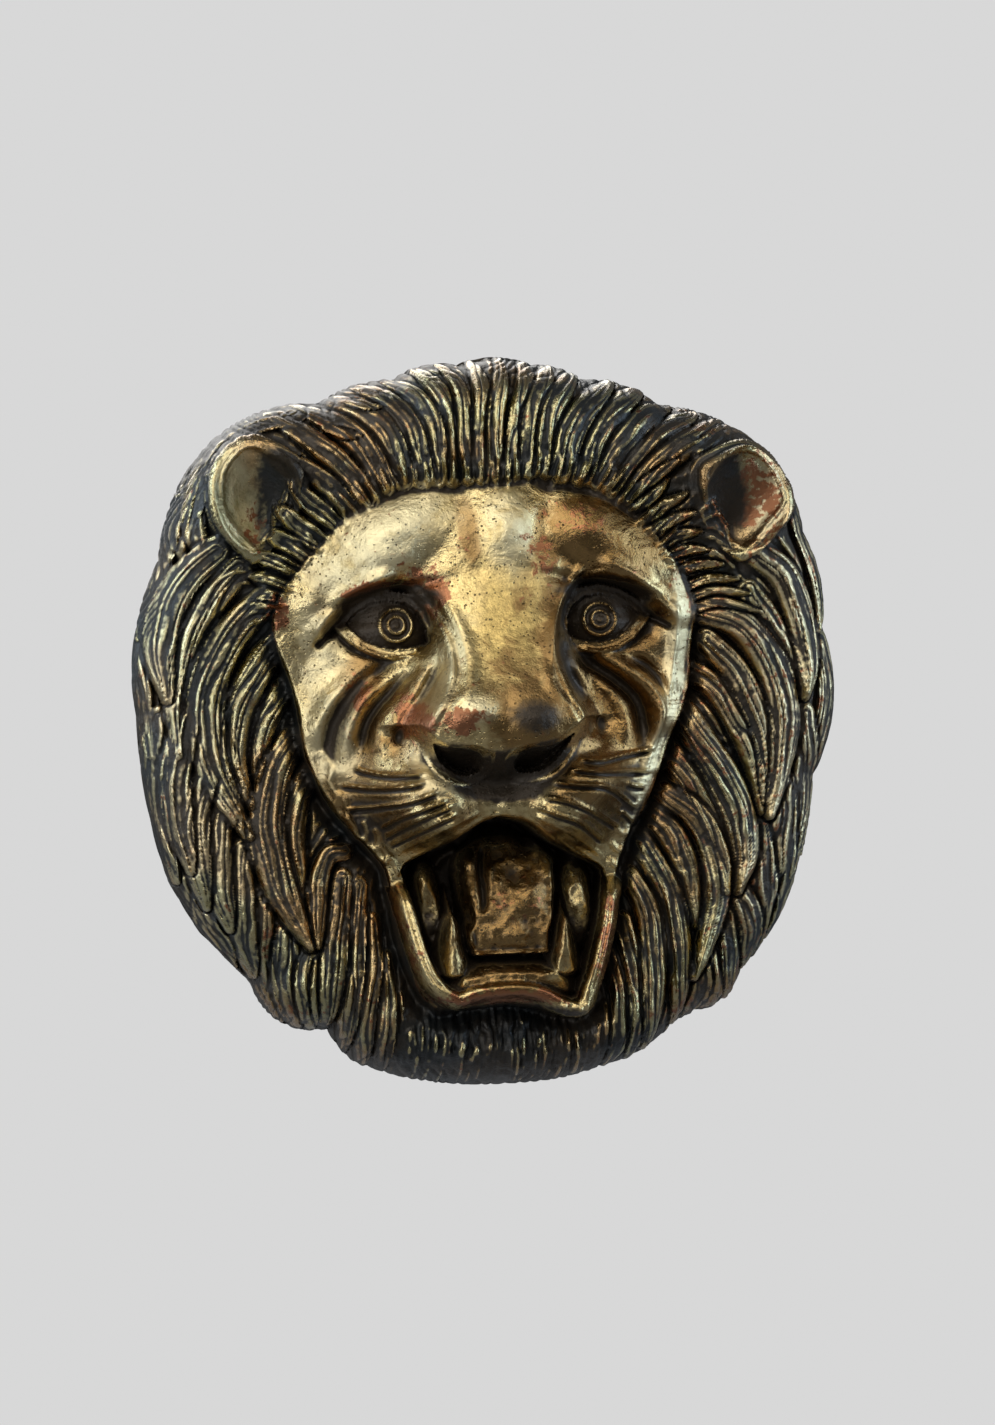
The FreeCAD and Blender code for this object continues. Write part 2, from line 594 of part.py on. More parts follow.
def spring_washer(x, z):
    """Split ring: the gap is cut across it on a slant."""
    low = DOOR + WASHER_THICK
    high = low + SPRING_THICK
    ring = turned([(SPRING_BORE, low), (SPRING_RADIUS, low), (SPRING_RADIUS, high), (SPRING_BORE, high)], x, z)
    slot = Part.makeBox(SPRING_GAP, 6 * SPRING_THICK, SPRING_RADIUS + 1)
    slot.translate(FreeCAD.Vector(-SPRING_GAP / 2, -3 * SPRING_THICK, 0))
    slot.rotate(FreeCAD.Vector(0, 0, 0), FreeCAD.Vector(0, 0, 1), SPRING_SLANT)
    slot.translate(FreeCAD.Vector(x, (low + high) / 2, z))
    return ring.cut(slot).Solids[0]


def dome_nut(x, z):
    """Hexagon with chamfered corners, a domed cap and a blind thread."""
    low = DOOR + WASHER_THICK + SPRING_THICK
    top = low + NUT_HEIGHT
    corner = NUT_FLATS / math.sqrt(3)
    spots = []
    for i in range(6):
        turn = math.radians(60 * i)
        spots.append(FreeCAD.Vector(x + corner * math.cos(turn), low, z + corner * math.sin(turn)))
    prism = Part.Face(Part.makePolygon(spots + [spots[0]])).extrude(FreeCAD.Vector(0, NUT_HEX, 0))
    flat = NUT_FLATS / 2 - 0.1
    rise = (corner - flat) * math.tan(math.radians(30))
    cone = turned([(0, low), (flat, low), (corner + 0.2, low + rise + 0.1),
                   (corner + 0.2, low + NUT_HEX - rise - 0.1), (flat, low + NUT_HEX), (0, low + NUT_HEX)], x, z)
    cap = [(0, low + NUT_HEX - 1), (NUT_DOME, low + NUT_HEX - 1)]
    straight = top - NUT_DOME
    for i in range(10):
        turn = math.radians(9 * i)
        cap.append((NUT_DOME * math.cos(turn), straight + NUT_DOME * math.sin(turn)))
    cap.append((0, top))
    body = prism.common(cone).fuse(turned(cap, x, z)).removeSplitter()
    mouth = NUT_BORE + 0.4
    bore = turned([(0, low - 1), (mouth, low - 1), (mouth, low), (NUT_BORE, low + 0.4),
                   (NUT_BORE, low + NUT_DEPTH), (0, low + NUT_DEPTH + 1)], x, z)
    return body.cut(bore).Solids[0]


os.makedirs("parts", exist_ok=True)
lion_head().exportStep("parts/lion_head.step")
for place, (px, pz) in stud_places():
    stud(px, pz).exportStep("parts/stud_%s.step" % place)
    washer(px, pz).exportStep("parts/washer_%s.step" % place)
    spring_washer(px, pz).exportStep("parts/spring_washer_%s.step" % place)
    dome_nut(px, pz).exportStep("parts/dome_nut_%s.step" % place)
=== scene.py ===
import math

import bpy
import numpy as np
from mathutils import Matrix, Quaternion, Vector


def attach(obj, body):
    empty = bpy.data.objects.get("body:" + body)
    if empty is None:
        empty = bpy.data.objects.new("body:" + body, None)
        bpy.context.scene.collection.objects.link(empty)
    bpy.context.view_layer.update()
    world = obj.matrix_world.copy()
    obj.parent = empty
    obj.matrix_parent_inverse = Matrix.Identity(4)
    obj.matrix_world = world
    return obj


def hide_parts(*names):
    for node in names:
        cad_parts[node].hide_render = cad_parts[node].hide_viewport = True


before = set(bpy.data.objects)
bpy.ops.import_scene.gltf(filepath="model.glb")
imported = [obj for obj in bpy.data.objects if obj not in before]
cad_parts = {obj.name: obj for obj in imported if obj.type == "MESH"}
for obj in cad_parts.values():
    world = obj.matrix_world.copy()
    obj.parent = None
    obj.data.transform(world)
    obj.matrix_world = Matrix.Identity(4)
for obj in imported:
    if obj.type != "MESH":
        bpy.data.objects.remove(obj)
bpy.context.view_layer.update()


# ---------- raster the head is sculpted on (millimetres, rows go down) ----------
STEP = 0.3
REACH = 104.0
COUNT = int(2 * REACH / STEP)
AXIS = (np.arange(COUNT) + 0.5) * STEP - REACH
X, Z = np.meshgrid(AXIS, -AXIS)
FAR_BELOW = -99.0                            # height where a shape doesn't count

# Outline of the mask: each scallop of hair is an arc from its first point through its second
SCALLOPS = [
    ((-42, 89), (-31.5, 94)), ((-22, 95), (-13, 98.8)), ((-4, 98.8), (7, 100.6)),
    ((17, 98.4), (24.5, 97.4)), ((30.5, 94), (43, 92.3)), ((52, 86.5), (69.5, 82)),
    ((84, 69.5), (88.8, 60)), ((91, 50.5), (95.3, 38)), ((96, 24.5), (98.8, 7)),
    ((92, -17), (89.8, -32)), ((86, -46), (80, -58)), ((70.5, -69.5), (66, -77.5)),
    ((57, -81), (53.7, -82.6)), ((50.5, -84.5), (42, -91.3)), ((31, -95.2), (19, -98.3)),
    ((7, -99.2), (-16, -98)), ((-38, -91.5), (-42, -87.3)), ((-45, -82.2), (-56.5, -80.5)),
    ((-65.5, -69), (-73.5, -60.5)), ((-79, -54.5), (-84, -46)), ((-87, -40.5), (-93, -14)),
    ((-94.3, 5), (-95.2, 18)), ((-93, 31.5), (-90.4, 40)), ((-87.2, 47), (-84.6, 59)),
    ((-79.5, 70), (-63, 85)),
]
FACE = [
    (0, 64), (-14, 65), (-24, 63.5), (-33, 59), (-41, 52), (-48, 44), (-54, 37), (-57, 30),
    (-56, 22), (-53, 14), (-51, 5), (-50, -4), (-47.5, -12), (-44, -19), (-39.5, -25.5), (-33.5, -32),
    (-29, -38), (-27.6, -46), (-25.6, -55), (-23.4, -64), (-20.8, -71), (-16, -75.5), (-8, -74.5),
    (2, -73.5), (11, -75.5), (18, -78), (23.8, -76), (26.6, -67), (28.8, -57), (30.6, -48), (31.8, -41),
    (34, -34), (37, -27), (40.5, -19), (43.5, -11), (47, -2), (51.5, 8), (53, 20), (54, 30), (51, 40),
    (45, 49), (40, 55), (33, 61), (25, 64), (14, 65),
]
MOUTH = [
    (-0.5, -24), (-6, -26), (-14, -31), (-25, -37), (-24.5, -42), (-22.5, -50), (-20.5, -58),
    (-18.5, -64), (-16, -68), (-12, -70.6), (-8, -69.4), (0, -68.6), (6, -68.8), (11, -70.2),
    (15, -72.5), (19.5, -73.8), (21.3, -70), (24, -62.5), (26.5, -54), (28, -47), (29.2, -40),
    (22, -35.5), (14, -31), (7, -26),
]


def clamp(v):
    return np.minimum(1.0, np.maximum(0.0, v))


def ramp(v):
    """Smooth step from 0 to 1."""
    v = clamp(v)
    return v * v * (3 - 2 * v)


def soft_max(a, b, blend):
    """The higher of two surfaces, with their meeting rounded off."""
    share = clamp(0.5 + 0.5 * (a - b) / blend)
    return b + (a - b) * share + blend * share * (1 - share)


def soft_min(a, b, blend):
    return -soft_max(-a, -b, blend)


def curve_through(points, values):
    """Smooth curve through (position, value) pairs."""
    t = np.array([p[0] for p in points], float)
    v = np.array([p[1] for p in points], float)
    slope = np.gradient(v, t)
    values = np.clip(values, t[0], t[-1])
    i = np.clip(np.searchsorted(t, values) - 1, 0, len(t) - 2)
    gap = t[i + 1] - t[i]
    s = (values - t[i]) / gap
    a = (2 * s ** 3 - 3 * s ** 2 + 1) * v[i] + (s ** 3 - 2 * s ** 2 + s) * gap * slope[i]
    b = (3 * s ** 2 - 2 * s ** 3) * v[i + 1] + (s ** 3 - s ** 2) * gap * slope[i + 1]
    return a + b


def oval(cx, cz, rx, rz, turn=0.0):
    """Squared distance from a centre, 1 on the edge of the oval. The turn is in degrees."""
    c = math.cos(math.radians(turn))
    s = math.sin(math.radians(turn))
    u = ((X - cx) * c + (Z - cz) * s) / rx
    v = (-(X - cx) * s + (Z - cz) * c) / rz
    return u * u + v * v


def bump(cx, cz, rx, rz, turn=0.0):
    return np.exp(-oval(cx, cz, rx, rz, turn))


def dome(cx, cz, rx, rz, turn=0.0, flat=2.0):
    """Round cap, 1 at its top and 0 on its edge, falling away outside."""
    q = oval(cx, cz, rx, rz, turn) ** (flat / 2.0)
    return np.sqrt(np.maximum(0.0, 1 - q)) - 2.0 * np.maximum(0.0, q - 1)


def smooth_line(points, pieces=6):
    """Curve through the points, in that many straight pieces between each two."""
    p = np.array(points, float)
    p = np.vstack([2 * p[0] - p[1], p, 2 * p[-1] - p[-2]])
    out = []
    for i in range(1, len(p) - 2):
        for j in range(pieces):
            t = j / pieces
            out.append(0.5 * (2 * p[i] + (p[i + 1] - p[i - 1]) * t
                              + (2 * p[i - 1] - 5 * p[i] + 4 * p[i + 1] - p[i + 2]) * t * t
                              + (3 * p[i] - p[i - 1] - 3 * p[i + 1] + p[i + 2]) * t ** 3))
    out.append(p[-2])
    return np.array(out)


def closed_line(points, pieces=3):
    return smooth_line(points + [points[0]], pieces)[:-1]


def measure(x, z, line):
    """Signed distance to a line (positive on its left) and the share of its length there."""
    best = np.full(x.shape, 1e9)
    side = np.ones(x.shape)
    along = np.zeros(x.shape)
    steps = np.hypot(*(line[1:] - line[:-1]).T)
    total = steps.sum()
    run = 0.0
    for a, b, length in zip(line[:-1], line[1:], steps):
        if length < 1e-9:
            continue
        d = (b - a) / length
        t = np.clip((x - a[0]) * d[0] + (z - a[1]) * d[1], 0, length)
        off_x = x - a[0] - t * d[0]
        off_z = z - a[1] - t * d[1]
        gap = off_x * off_x + off_z * off_z
        near = gap < best
        best = np.where(near, gap, best)
        side = np.where(near, np.sign(d[0] * off_z - d[1] * off_x) + 1e-9, side)
        along = np.where(near, (run + t) / total, along)
        run += length
    return np.sqrt(best) * np.sign(side), along, total


def window(line, margin):
    """Slices of the raster around a line."""
    low = line.min(axis=0) - margin
    high = line.max(axis=0) + margin
    c0 = max(0, int((low[0] + REACH) / STEP))
    c1 = min(COUNT, int((high[0] + REACH) / STEP) + 1)
    r0 = max(0, int((REACH - high[1]) / STEP))
    r1 = min(COUNT, int((REACH - low[1]) / STEP) + 1)
    return slice(r0, r1), slice(c0, c1)


def region_depth(points, reach=None):
    """Distance inside a closed outline, negative outside."""
    line = np.vstack([points, points[:1]])
    inside = np.zeros(X.shape, bool)
    for (ax, az), (bx, bz) in zip(line[:-1], line[1:]):
        if az == bz:
            continue
        cross = ((az > Z) != (bz > Z)) & (X < (bx - ax) * (Z - az) / (bz - az) + ax)
        inside ^= cross
    distance = np.full(X.shape, 1e3 if reach is None else reach)
    spot = (slice(None), slice(None)) if reach is None else window(line, reach)
    d, _, _ = measure(X[spot], Z[spot], line)
    distance[spot] = np.abs(d)
    return np.where(inside, distance, -distance)


def arc_points(a, m, b, count):
    """Points on the circular arc from a through m, up to but not including b."""
    (ax, az), (mx, mz), (bx, bz) = a, m, b
    d = 2 * (ax * (mz - bz) + mx * (bz - az) + bx * (az - mz))
    qa, qm, qb = ax * ax + az * az, mx * mx + mz * mz, bx * bx + bz * bz
    ux = (qa * (mz - bz) + qm * (bz - az) + qb * (az - mz)) / d
    uz = (qa * (bx - mx) + qm * (ax - bx) + qb * (mx - ax)) / d
    radius = math.hypot(ax - ux, az - uz)
    turns = [math.atan2(p[1] - uz, p[0] - ux) for p in (a, m, b)]
    turns = np.unwrap(turns)
    angles = turns[0] + (turns[2] - turns[0]) * np.arange(count) / count
    return [(ux + radius * math.cos(t), uz + radius * math.sin(t)) for t in angles]


def outline_points(count):
    """The outline of the mask, with that many points on each scallop."""
    points = []
    for i, (notch, middle) in enumerate(SCALLOPS):
        points += arc_points(notch, middle, SCALLOPS[(i + 1) % len(SCALLOPS)][0], count)
    return np.array(points)


def blur(field, radius):
    """Three box blurs, close to a Gaussian of that radius in mm."""
    n = max(1, int(round(radius / STEP)))
    for _ in range(3):
        for axis in (0, 1):
            pad = [(0, 0), (0, 0)]
            pad[axis] = (n + 1, n)
            total = np.cumsum(np.pad(field, pad, mode="edge"), axis=axis)
            size = 2 * n + 1
            if axis == 0:
                field = (total[size:] - total[:-size]) / size
            else:
                field = (total[:, size:] - total[:, :-size]) / size
    return field


def noise(scale, seed):
    """Smooth random field, about -1 to 1, with blobs of the given size in mm."""
    rng = np.random.default_rng(seed)
    n = int(2 * REACH / scale) + 4
    grid = rng.normal(size=(n, n))
    place = (AXIS + REACH) / scale + 1
    i = place.astype(int)
    f = place - i
    f = f * f * (3 - 2 * f)
    rows = grid[i] * (1 - f)[:, None] + grid[i + 1] * f[:, None]
    return rows[:, i] * (1 - f)[None] + rows[:, i + 1] * f[None]


# ---------- the mane ----------
# Each lock: middle line from root to tip, half width, and how far it stands off the mane
LOCKS = [
    ([(-9, 65), (-9.5, 80), (-12, 90), (-17, 98)], 3.2, 2.6),
    ([(-5, 65), (-5, 80), (-6, 90), (-10, 99)], 2.6, 2.4),
    ([(-1, 65), (-0.5, 80), (0, 90), (-1, 100)], 2.8, 2.8),
    ([(2.5, 65), (3, 80), (5, 90), (7, 101)], 2.6, 2.4),
    ([(7, 66), (9, 80), (12, 90), (14, 100)], 3.2, 1.8),
    ([(11.5, 67), (13, 80), (17, 90), (21, 99)], 3.2, 2.2),
    ([(16, 67), (18, 80), (23, 90), (29, 96)], 3.4, 1.8),
    ([(-13, 65), (-14, 78), (-18, 88), (-25, 95)], 3.4, 1.8),
    ([(-17, 65), (-19, 76), (-24, 86), (-33, 93)], 3.6, 1.8),
    ([(-22, 65), (-25, 75), (-31, 84), (-42, 90)], 3.8, 2.0),
    ([(-27, 63), (-31, 72), (-38, 80), (-50, 88)], 3.8, 2.0),
    ([(-31, 60), (-37, 68), (-44, 75), (-57, 85)], 3.6, 2.2),
    ([(-36, 57), (-42, 64), (-49, 71)], 3.2, 1.8),
    ([(-40, 53), (-46, 59), (-52, 65)], 3.2, 1.8),
    ([(-44, 49), (-50, 54), (-56, 59)], 3.0, 1.8),
    ([(-47, 45), (-53, 49), (-59, 53)], 3.0, 1.8),
    ([(-50, 41), (-56, 44), (-62, 47)], 3.0, 2.0),
    ([(-53, 37), (-59, 40), (-63, 41)], 2.8, 2.0),
    ([(34, 61), (41, 70), (49, 77), (60, 83)], 3.8, 1.8),
    ([(30, 64), (36, 74), (44, 81), (54, 86)], 3.8, 1.8),
    ([(25, 65), (30, 77), (38, 85), (47, 91)], 3.8, 2.2),
    ([(20, 66), (23, 76), (28, 84), (38, 93)], 3.8, 3.0),
    ([(38, 59), (46, 67), (54, 73), (67, 81)], 3.6, 2.2),
    ([(58, 71), (67, 76), (75, 76), (82, 70)], 3.6, 1.8),
    ([(-50, 85), (-63, 82), (-73, 73), (-78, 61), (-81, 48)], 4.8, 2.6),
    ([(-74, 72), (-77.5, 60), (-76.5, 48), (-78, 44)], 3.4, 2.0),
    ([(-82, 62), (-86, 50), (-89, 38), (-93, 26)], 4.0, 1.8),
    ([(-92, 36), (-93.5, 22), (-93, 8), (-91, -6)], 3.6, 1.4),
    ([(-88, 4), (-90.5, -10), (-89, -24), (-85, -40)], 4.4, 2.4),
    ([(-66, 43), (-74, 34), (-80, 22), (-83, 8), (-83, -6)], 4.8, 3.2),
    ([(-72, 48), (-82, 39), (-87.5, 25), (-86, 9)], 5.2, 3.8),
    ([(-53, 13), (-58, 7), (-62, -2), (-63, -13)], 3.8, 2.6),
    ([(-55, 25), (-62, 16), (-68, 4), (-69, -8), (-65, -20)], 4.8, 4.0),
    ([(-60, 34), (-69, 25), (-75, 12), (-76, -2), (-73, -14), (-65.5, -28)], 5.4, 4.6),
    ([(-62, -44), (-63.5, -52), (-63, -64), (-58, -79)], 4.4, 2.6),
    ([(-67, -32), (-68.5, -42), (-68, -54), (-65, -66)], 4.4, 2.8),
    ([(-78, -46), (-76, -54), (-70, -64)], 3.8, 1.8),
    ([(-71, -20), (-74, -28), (-74, -40), (-71, -53)], 4.4, 3.4),
    ([(-76, -10), (-79, -20), (-79.5, -32), (-77, -47)], 4.2, 3.8),
    ([(-81, 4), (-84, -10), (-84, -22), (-81, -37)], 4.4, 3.8),
    ([(-56, -54), (-56.5, -62), (-56, -71), (-53, -82)], 4.0, 2.4),
    ([(-50, -60), (-51, -68), (-49.5, -82)], 3.6, 2.4),
    ([(-46, -60), (-47, -70), (-46.5, -82)], 3.4, 2.2),
    ([(-49, -12), (-53, -20), (-54.5, -32), (-53, -44), (-50.5, -56)], 4.2, 4.4),
    ([(-53, -3), (-58, -12), (-60.8, -25), (-59, -38), (-55, -48), (-50, -58)], 5.0, 5.0),
    ([(-30, -62), (-30.5, -74), (-31, -84), (-31, -95)], 3.2, 2.0),
    ([(-33.5, -52), (-34, -64), (-36, -76), (-36, -93)], 3.4, 2.4),
    ([(-37, -42), (-38, -52), (-39, -64), (-41, -88)], 3.6, 2.6),
    ([(-41, -40), (-43, -52), (-44, -64), (-46, -82)], 3.8, 3.0),
    ([(-40, -33), (-44.5, -34), (-47.5, -42), (-47.8, -58)], 3.0, 3.8),
    ([(83, 64), (88, 54), (93, 42), (94.5, 30), (92, 23)], 4.8, 3.4),
    ([(93, 20), (95, 8), (93, -6), (88.5, -20), (88, -38)], 4.6, 2.8),
    ([(86, 0), (87, -14), (86, -28), (82.5, -44)], 4.4, 3.2),
    ([(80, -18), (79.5, -30), (79, -42), (76, -58)], 4.4, 3.2),
    ([(72, -30), (73, -42), (74.5, -54), (73.5, -66)], 4.2, 2.8),
    ([(83, -42), (81, -52), (77, -61)], 3.6, 2.2),
    ([(71, 34), (77, 25), (81.5, 16), (85.5, 7)], 3.8, 3.0),
    ([(73, 44), (81, 38), (86, 27), (87.5, 14), (86, 5)], 4.8, 4.6),
    ([(54, 13), (62, 7), (68.5, -4), (72, -14), (73, -26)], 4.0, 3.4),
    ([(59, 21), (67, 12), (73, 0), (75, -10), (74, -23)], 4.2, 4.0),
    ([(57, 29), (68, 25), (76.5, 14), (80, 1), (79, -12), (75, -27)], 4.8, 5.2),
    ([(58, -58), (59, -68), (60, -82)], 3.8, 2.4),
    ([(62, -48), (64, -60), (65, -77)], 3.8, 2.6),
    ([(66, -46), (69.5, -55), (70.5, -69)], 3.8, 3.0),
    ([(54, -64), (55, -72), (54, -84)], 3.4, 2.2),
    ([(47, -8), (53, -16), (59, -27), (62, -37), (62.5, -47)], 4.8, 4.4),
    ([(52, 2), (57, -7), (63, -17), (67, -28), (68, -38), (65.5, -47)], 5.0, 5.0),
    ([(42, -24), (48, -31), (52.5, -42), (54, -56)], 4.2, 3.0),
    ([(46, -20), (54, -26), (59, -36), (60, -47), (57.5, -58), (53, -70)], 4.0, 4.8),
    ([(31, -64), (33, -74), (33, -84), (31, -95)], 3.2, 2.2),
    ([(34, -54), (36, -62), (38, -74), (37, -93)], 3.4, 2.6),
    ([(39, -32), (44, -41), (47.5, -50), (49, -62), (49, -83)], 4.0, 3.2),
    ([(36, -42), (40, -49), (42, -58), (42, -70), (41, -90)], 3.8, 3.4),
]
# Small tufts beside the ears and along the hairline, written like the locks
TUFTS = [
    ([(39, 56), (44, 59), (49, 64)], 1.8, 1.8), ([(42, 53), (48, 57), (54, 60)], 1.8, 1.8),
    ([(44, 50), (50, 53), (56, 55)], 1.7, 2.0), ([(46, 46), (52, 49), (58, 50)], 1.7, 1.8),
    ([(48, 43), (54, 45), (60, 45)], 1.6, 1.8), ([(51, 39), (57, 41), (64, 41)], 1.6, 1.8),
    ([(53, 35), (60, 37), (68, 37)], 1.6, 2.2), ([(54, 32), (61, 34), (71, 33)], 1.6, 2.4),
    ([(55, 29), (63, 31), (74, 28)], 1.6, 2.4), ([(40, 61), (46, 65), (52, 69)], 1.8, 1.6),
    ([(-42, 80), (-38, 78), (-33, 77)], 1.6, 1.8), ([(-36, 88), (-32, 86), (-27, 85)], 1.6, 1.6),
]
UNDERCOAT_HAIRS = 1700


def mane_base(rim):
    """Rounded body of the mane, falling to the rim."""
    top = 34 + 9 * ramp((Z - 30) / 45.0) + 5 * ramp((-Z - 55) / 30.0)
    return 8 + (top - 8) * (1 - np.exp(-np.maximum(rim, 0) / 6.0))


def lock_half(half, along):
    """Half width of a lock on the way to its tip."""
    return np.maximum(0.25, half * (0.78 + 0.55 * along - 1.02 * along ** 3.2))


def lay_lock(h, base, rim, points, half, rise, seed):
    """One lock: a rounded ribbon with hair grooves, laid over what is already there."""
    rng = np.random.default_rng(seed)
    line = smooth_line(points)
    w = window(line, half * 1.9)
    d, along, length = measure(X[w], Z[w], line)
    width = lock_half(half, along)
    across = d / width
    body = rise * (0.50 + 0.50 * along) * np.sqrt(np.clip(1 - across ** 2, 0, 1))
    strands = max(3, int(round(2 * half / 2.0)))
    sway = 0.25 * np.sin(along * rng.uniform(5, 9) + rng.uniform(0, 6))
    bend = 0.5 + 0.5 * across + 0.05 * np.sin(across * 7 + rng.uniform(0, 6)) + 0.02 * np.sin(along * 19)
    place = bend * strands + sway
    index = np.clip(place.astype(int), 0, strands)
    height = rng.uniform(0.45, 1.35, strands + 2)[index]
    start = rng.uniform(0, 6.3, strands + 2)[index]
    ripple = 0.85 + 0.25 * np.sin(along * length * 0.35 + start)
    groove = np.abs(np.sin(np.pi * place)) ** 0.65
    fine = np.abs(np.sin(np.pi * place * 2.0 + start)) ** 0.8
    depth = 1.15 * ramp((1 - np.abs(across)) * 6)
    top = base[w] + body + depth * (height * ripple * groove - 0.75) + 0.14 * depth * fine
    solid = (np.abs(across) < 1) & (rim[w] > -1.5)
    edge = np.exp(-((np.abs(across) - 1.14) / 0.19) ** 2) * (np.abs(across) > 1)
    fade = ramp(along * 7)
    under = h[w] - 1.7 * edge * fade
    cover = solid & (top > under - 0.6 * fade)
    h[w] = np.where(cover, soft_max(np.where(solid, top, FAR_BELOW), under, 0.25), under)


def flow_field():
    """Direction the hair runs, read off the nearest locks."""
    gx = np.zeros(X.shape)
    gz = np.zeros(X.shape)
    for points, _, _ in LOCKS:
        line = smooth_line(points, 3)
        for a, b in zip(line[:-1], line[1:]):
            m = (a + b) / 2
            d = (b - a) / np.hypot(*(b - a))
            spot = window(np.array([m]), 22)
            weight = np.exp(-((X[spot] - m[0]) ** 2 + (Z[spot] - m[1]) ** 2) / 60.0) + 1e-6
            gx[spot] += d[0] * weight
            gz[spot] += d[1] * weight
    size = np.hypot(gx, gz) + 1e-9
    return gx / size, gz / size


def sample(field, x, z):
    """Value of a raster at its nearest point."""
    c = np.clip(((np.asarray(x) + REACH) / STEP).astype(int), 0, COUNT - 1)
    r = np.clip(((REACH - np.asarray(z)) / STEP).astype(int), 0, COUNT - 1)
    return field[r, c]


def lay_undercoat(h, rim, inside):
    """Short hairs between and under the locks, following the same flow."""
    gx, gz = flow_field()
    rng = np.random.default_rng(5)
    for _ in range(UNDERCOAT_HAIRS):
        x, z = rng.uniform(-98, 98), rng.uniform(-99, 99)
        if sample(rim, x, z) < 1 or sample(inside, x, z) > -1:
            continue
        path = [(x, z)]
        for _ in range(int(rng.integers(5, 10))):
            dx, dz = sample(gx, x, z), sample(gz, x, z)
            x, z = x + dx * 2.2, z + dz * 2.2
            path.append((x, z))
        line = np.array(path)
        half = rng.uniform(0.5, 0.85)
        w = window(line, half * 2.5)
        d, along, _ = measure(X[w], Z[w], line)
        h[w] += rng.uniform(0.4, 0.95) * np.exp(-(d / half) ** 2) * ramp(along * 5) * ramp((1 - along) * 5)


def lay_roots(h):
    """Short hair roots that start on the skin all along the hairline."""
    rng = np.random.default_rng(21)
    gx, gz = flow_field()
    for x, z in smooth_line(FACE[39:] + FACE[:8], 16):
        dx, dz = sample(gx, x, z), sample(gz, x, z)
        x, z = x + rng.uniform(-1, 1), z + rng.uniform(-1, 1)
        back, ahead = rng.uniform(0.5, 2.5), rng.uniform(5, 9)
        points = [(x - dx * back, z - dz * back), (x + dx * 2, z + dz * 2), (x + dx * ahead, z + dz * ahead)]
        stroke(h, points, rng.uniform(0.45, 0.7), rng.uniform(0.7, 1.5), 0.35)


def stroke(h, points, half, rise, ease=0.18):
    """Ridge (or groove, with a negative rise) along a curve."""
    line = smooth_line(points)
    w = window(line, half * 3.2)
    d, along, _ = measure(X[w], Z[w], line)
    ends = ramp(along / ease) * ramp((1 - along) / ease)
    h[w] += rise * np.exp(-(np.abs(d) / half) ** 2.0) * ends


def lay_strokes(h, rows, ease=0.18):
    for points, half, rise in rows:
        stroke(h, points, half, rise, ease)


def ring(h, cx, cz, radius, half, rise):
    """Round ridge about a centre."""
    w = window(np.array([(cx, cz)]), radius + 3 * half)
    r = np.hypot(X[w] - cx, Z[w] - cz)
    h[w] += rise * np.exp(-((r - radius) / half) ** 2)


# ---------- the face ----------
LEFT_EYE = [
    (-39.5, 27.4), (-36.5, 31), (-32, 33.6), (-27, 34.4), (-22, 33.4), (-18.4, 30.4), (-16.2, 26),
    (-15.6, 21.5), (-17.5, 20.3), (-21, 19.8), (-26, 19.4), (-30, 20.1), (-34, 22), (-37.2, 24.8),
]
RIGHT_EYE = [
    (42, 28.3), (38.3, 31.4), (34, 33.7), (29.5, 34.7), (25, 34), (21.2, 31.3), (19.4, 27.5),
    (19.6, 23), (21.3, 21.4), (24.5, 20.2), (29, 19.7), (33.5, 20.7), (37.4, 23.2), (40.2, 26.2),
]
# Each eye: lids, centre of the ball, centre of the iris, side
EYES = [(LEFT_EYE, -27.2, 26.4, -25.2, 26.8, -1), (RIGHT_EYE, 30.0, 27.0, 29.2, 27.0, 1)]
NOSE_EDGE = [
    (-21, 0.5), (-19, -2.0), (-15.5, -4.4), (-11, -5.0), (-7, -5.2), (-4, -6.4), (-1.5, -7.4),
    (0.8, -7.0), (3, -6.0), (7, -5.2), (11, -5.0), (15, -3.2), (18, -1.0), (21, 1.5),
]
LEFT_NOSTRIL = [
    (-19.6, -2.2), (-15.5, -4.6), (-10.5, -5.2), (-6.2, -6.4), (-4.4, -9.4), (-5.6, -12.8),
    (-9.6, -14), (-13.8, -12.6), (-17.6, -8.6),
]
RIGHT_NOSTRIL = [
    (1.6, -9.8), (3.6, -6.8), (7.4, -5.4), (11.6, -5.2), (15.6, -3.6), (20.2, -0.6),
    (18.2, -5.6), (14.8, -10), (11, -12.8), (6, -13.8), (2.8, -12.6),
]
EDGE = curve_through(NOSE_EDGE, X)           # lower edge of the nose, where the pad turns under


def skin_surface(inside):
    """Forehead, brows and cheeks."""
    h = 33.0 - 8.0 * ramp(-inside / 7.0)
    h = soft_max(h, 27 + 19.0 * dome(0, 38, 57, 34, flat=2.4), 5)
    h += 5.0 * bump(-28, 49, 17, 9.5, 32)          # the two brow lobes and the boss between
    h += 4.6 * bump(29, 49.5, 14, 9.5, -38)
    h += 3.4 * bump(4.5, 52, 6.5, 12)
    h -= 2.6 * bump(-6.5, 53, 2.8, 11, 10)
    h -= 2.4 * bump(14, 54, 2.8, 10, -12)
    h -= 2.0 * bump(-20, 39.5, 12, 3.0, 35) + 1.6 * bump(22, 41, 10, 2.6, -35)
    h += 2.0 * bump(-50, 33, 7, 6, 40)
    h = soft_max(h, 24 + 18 * dome(-33, 2, 20, 26, 8, 2.4), 6)
    h = soft_max(h, 24 + 18 * dome(34, 2, 19, 26, -8, 2.4), 6)
    return h


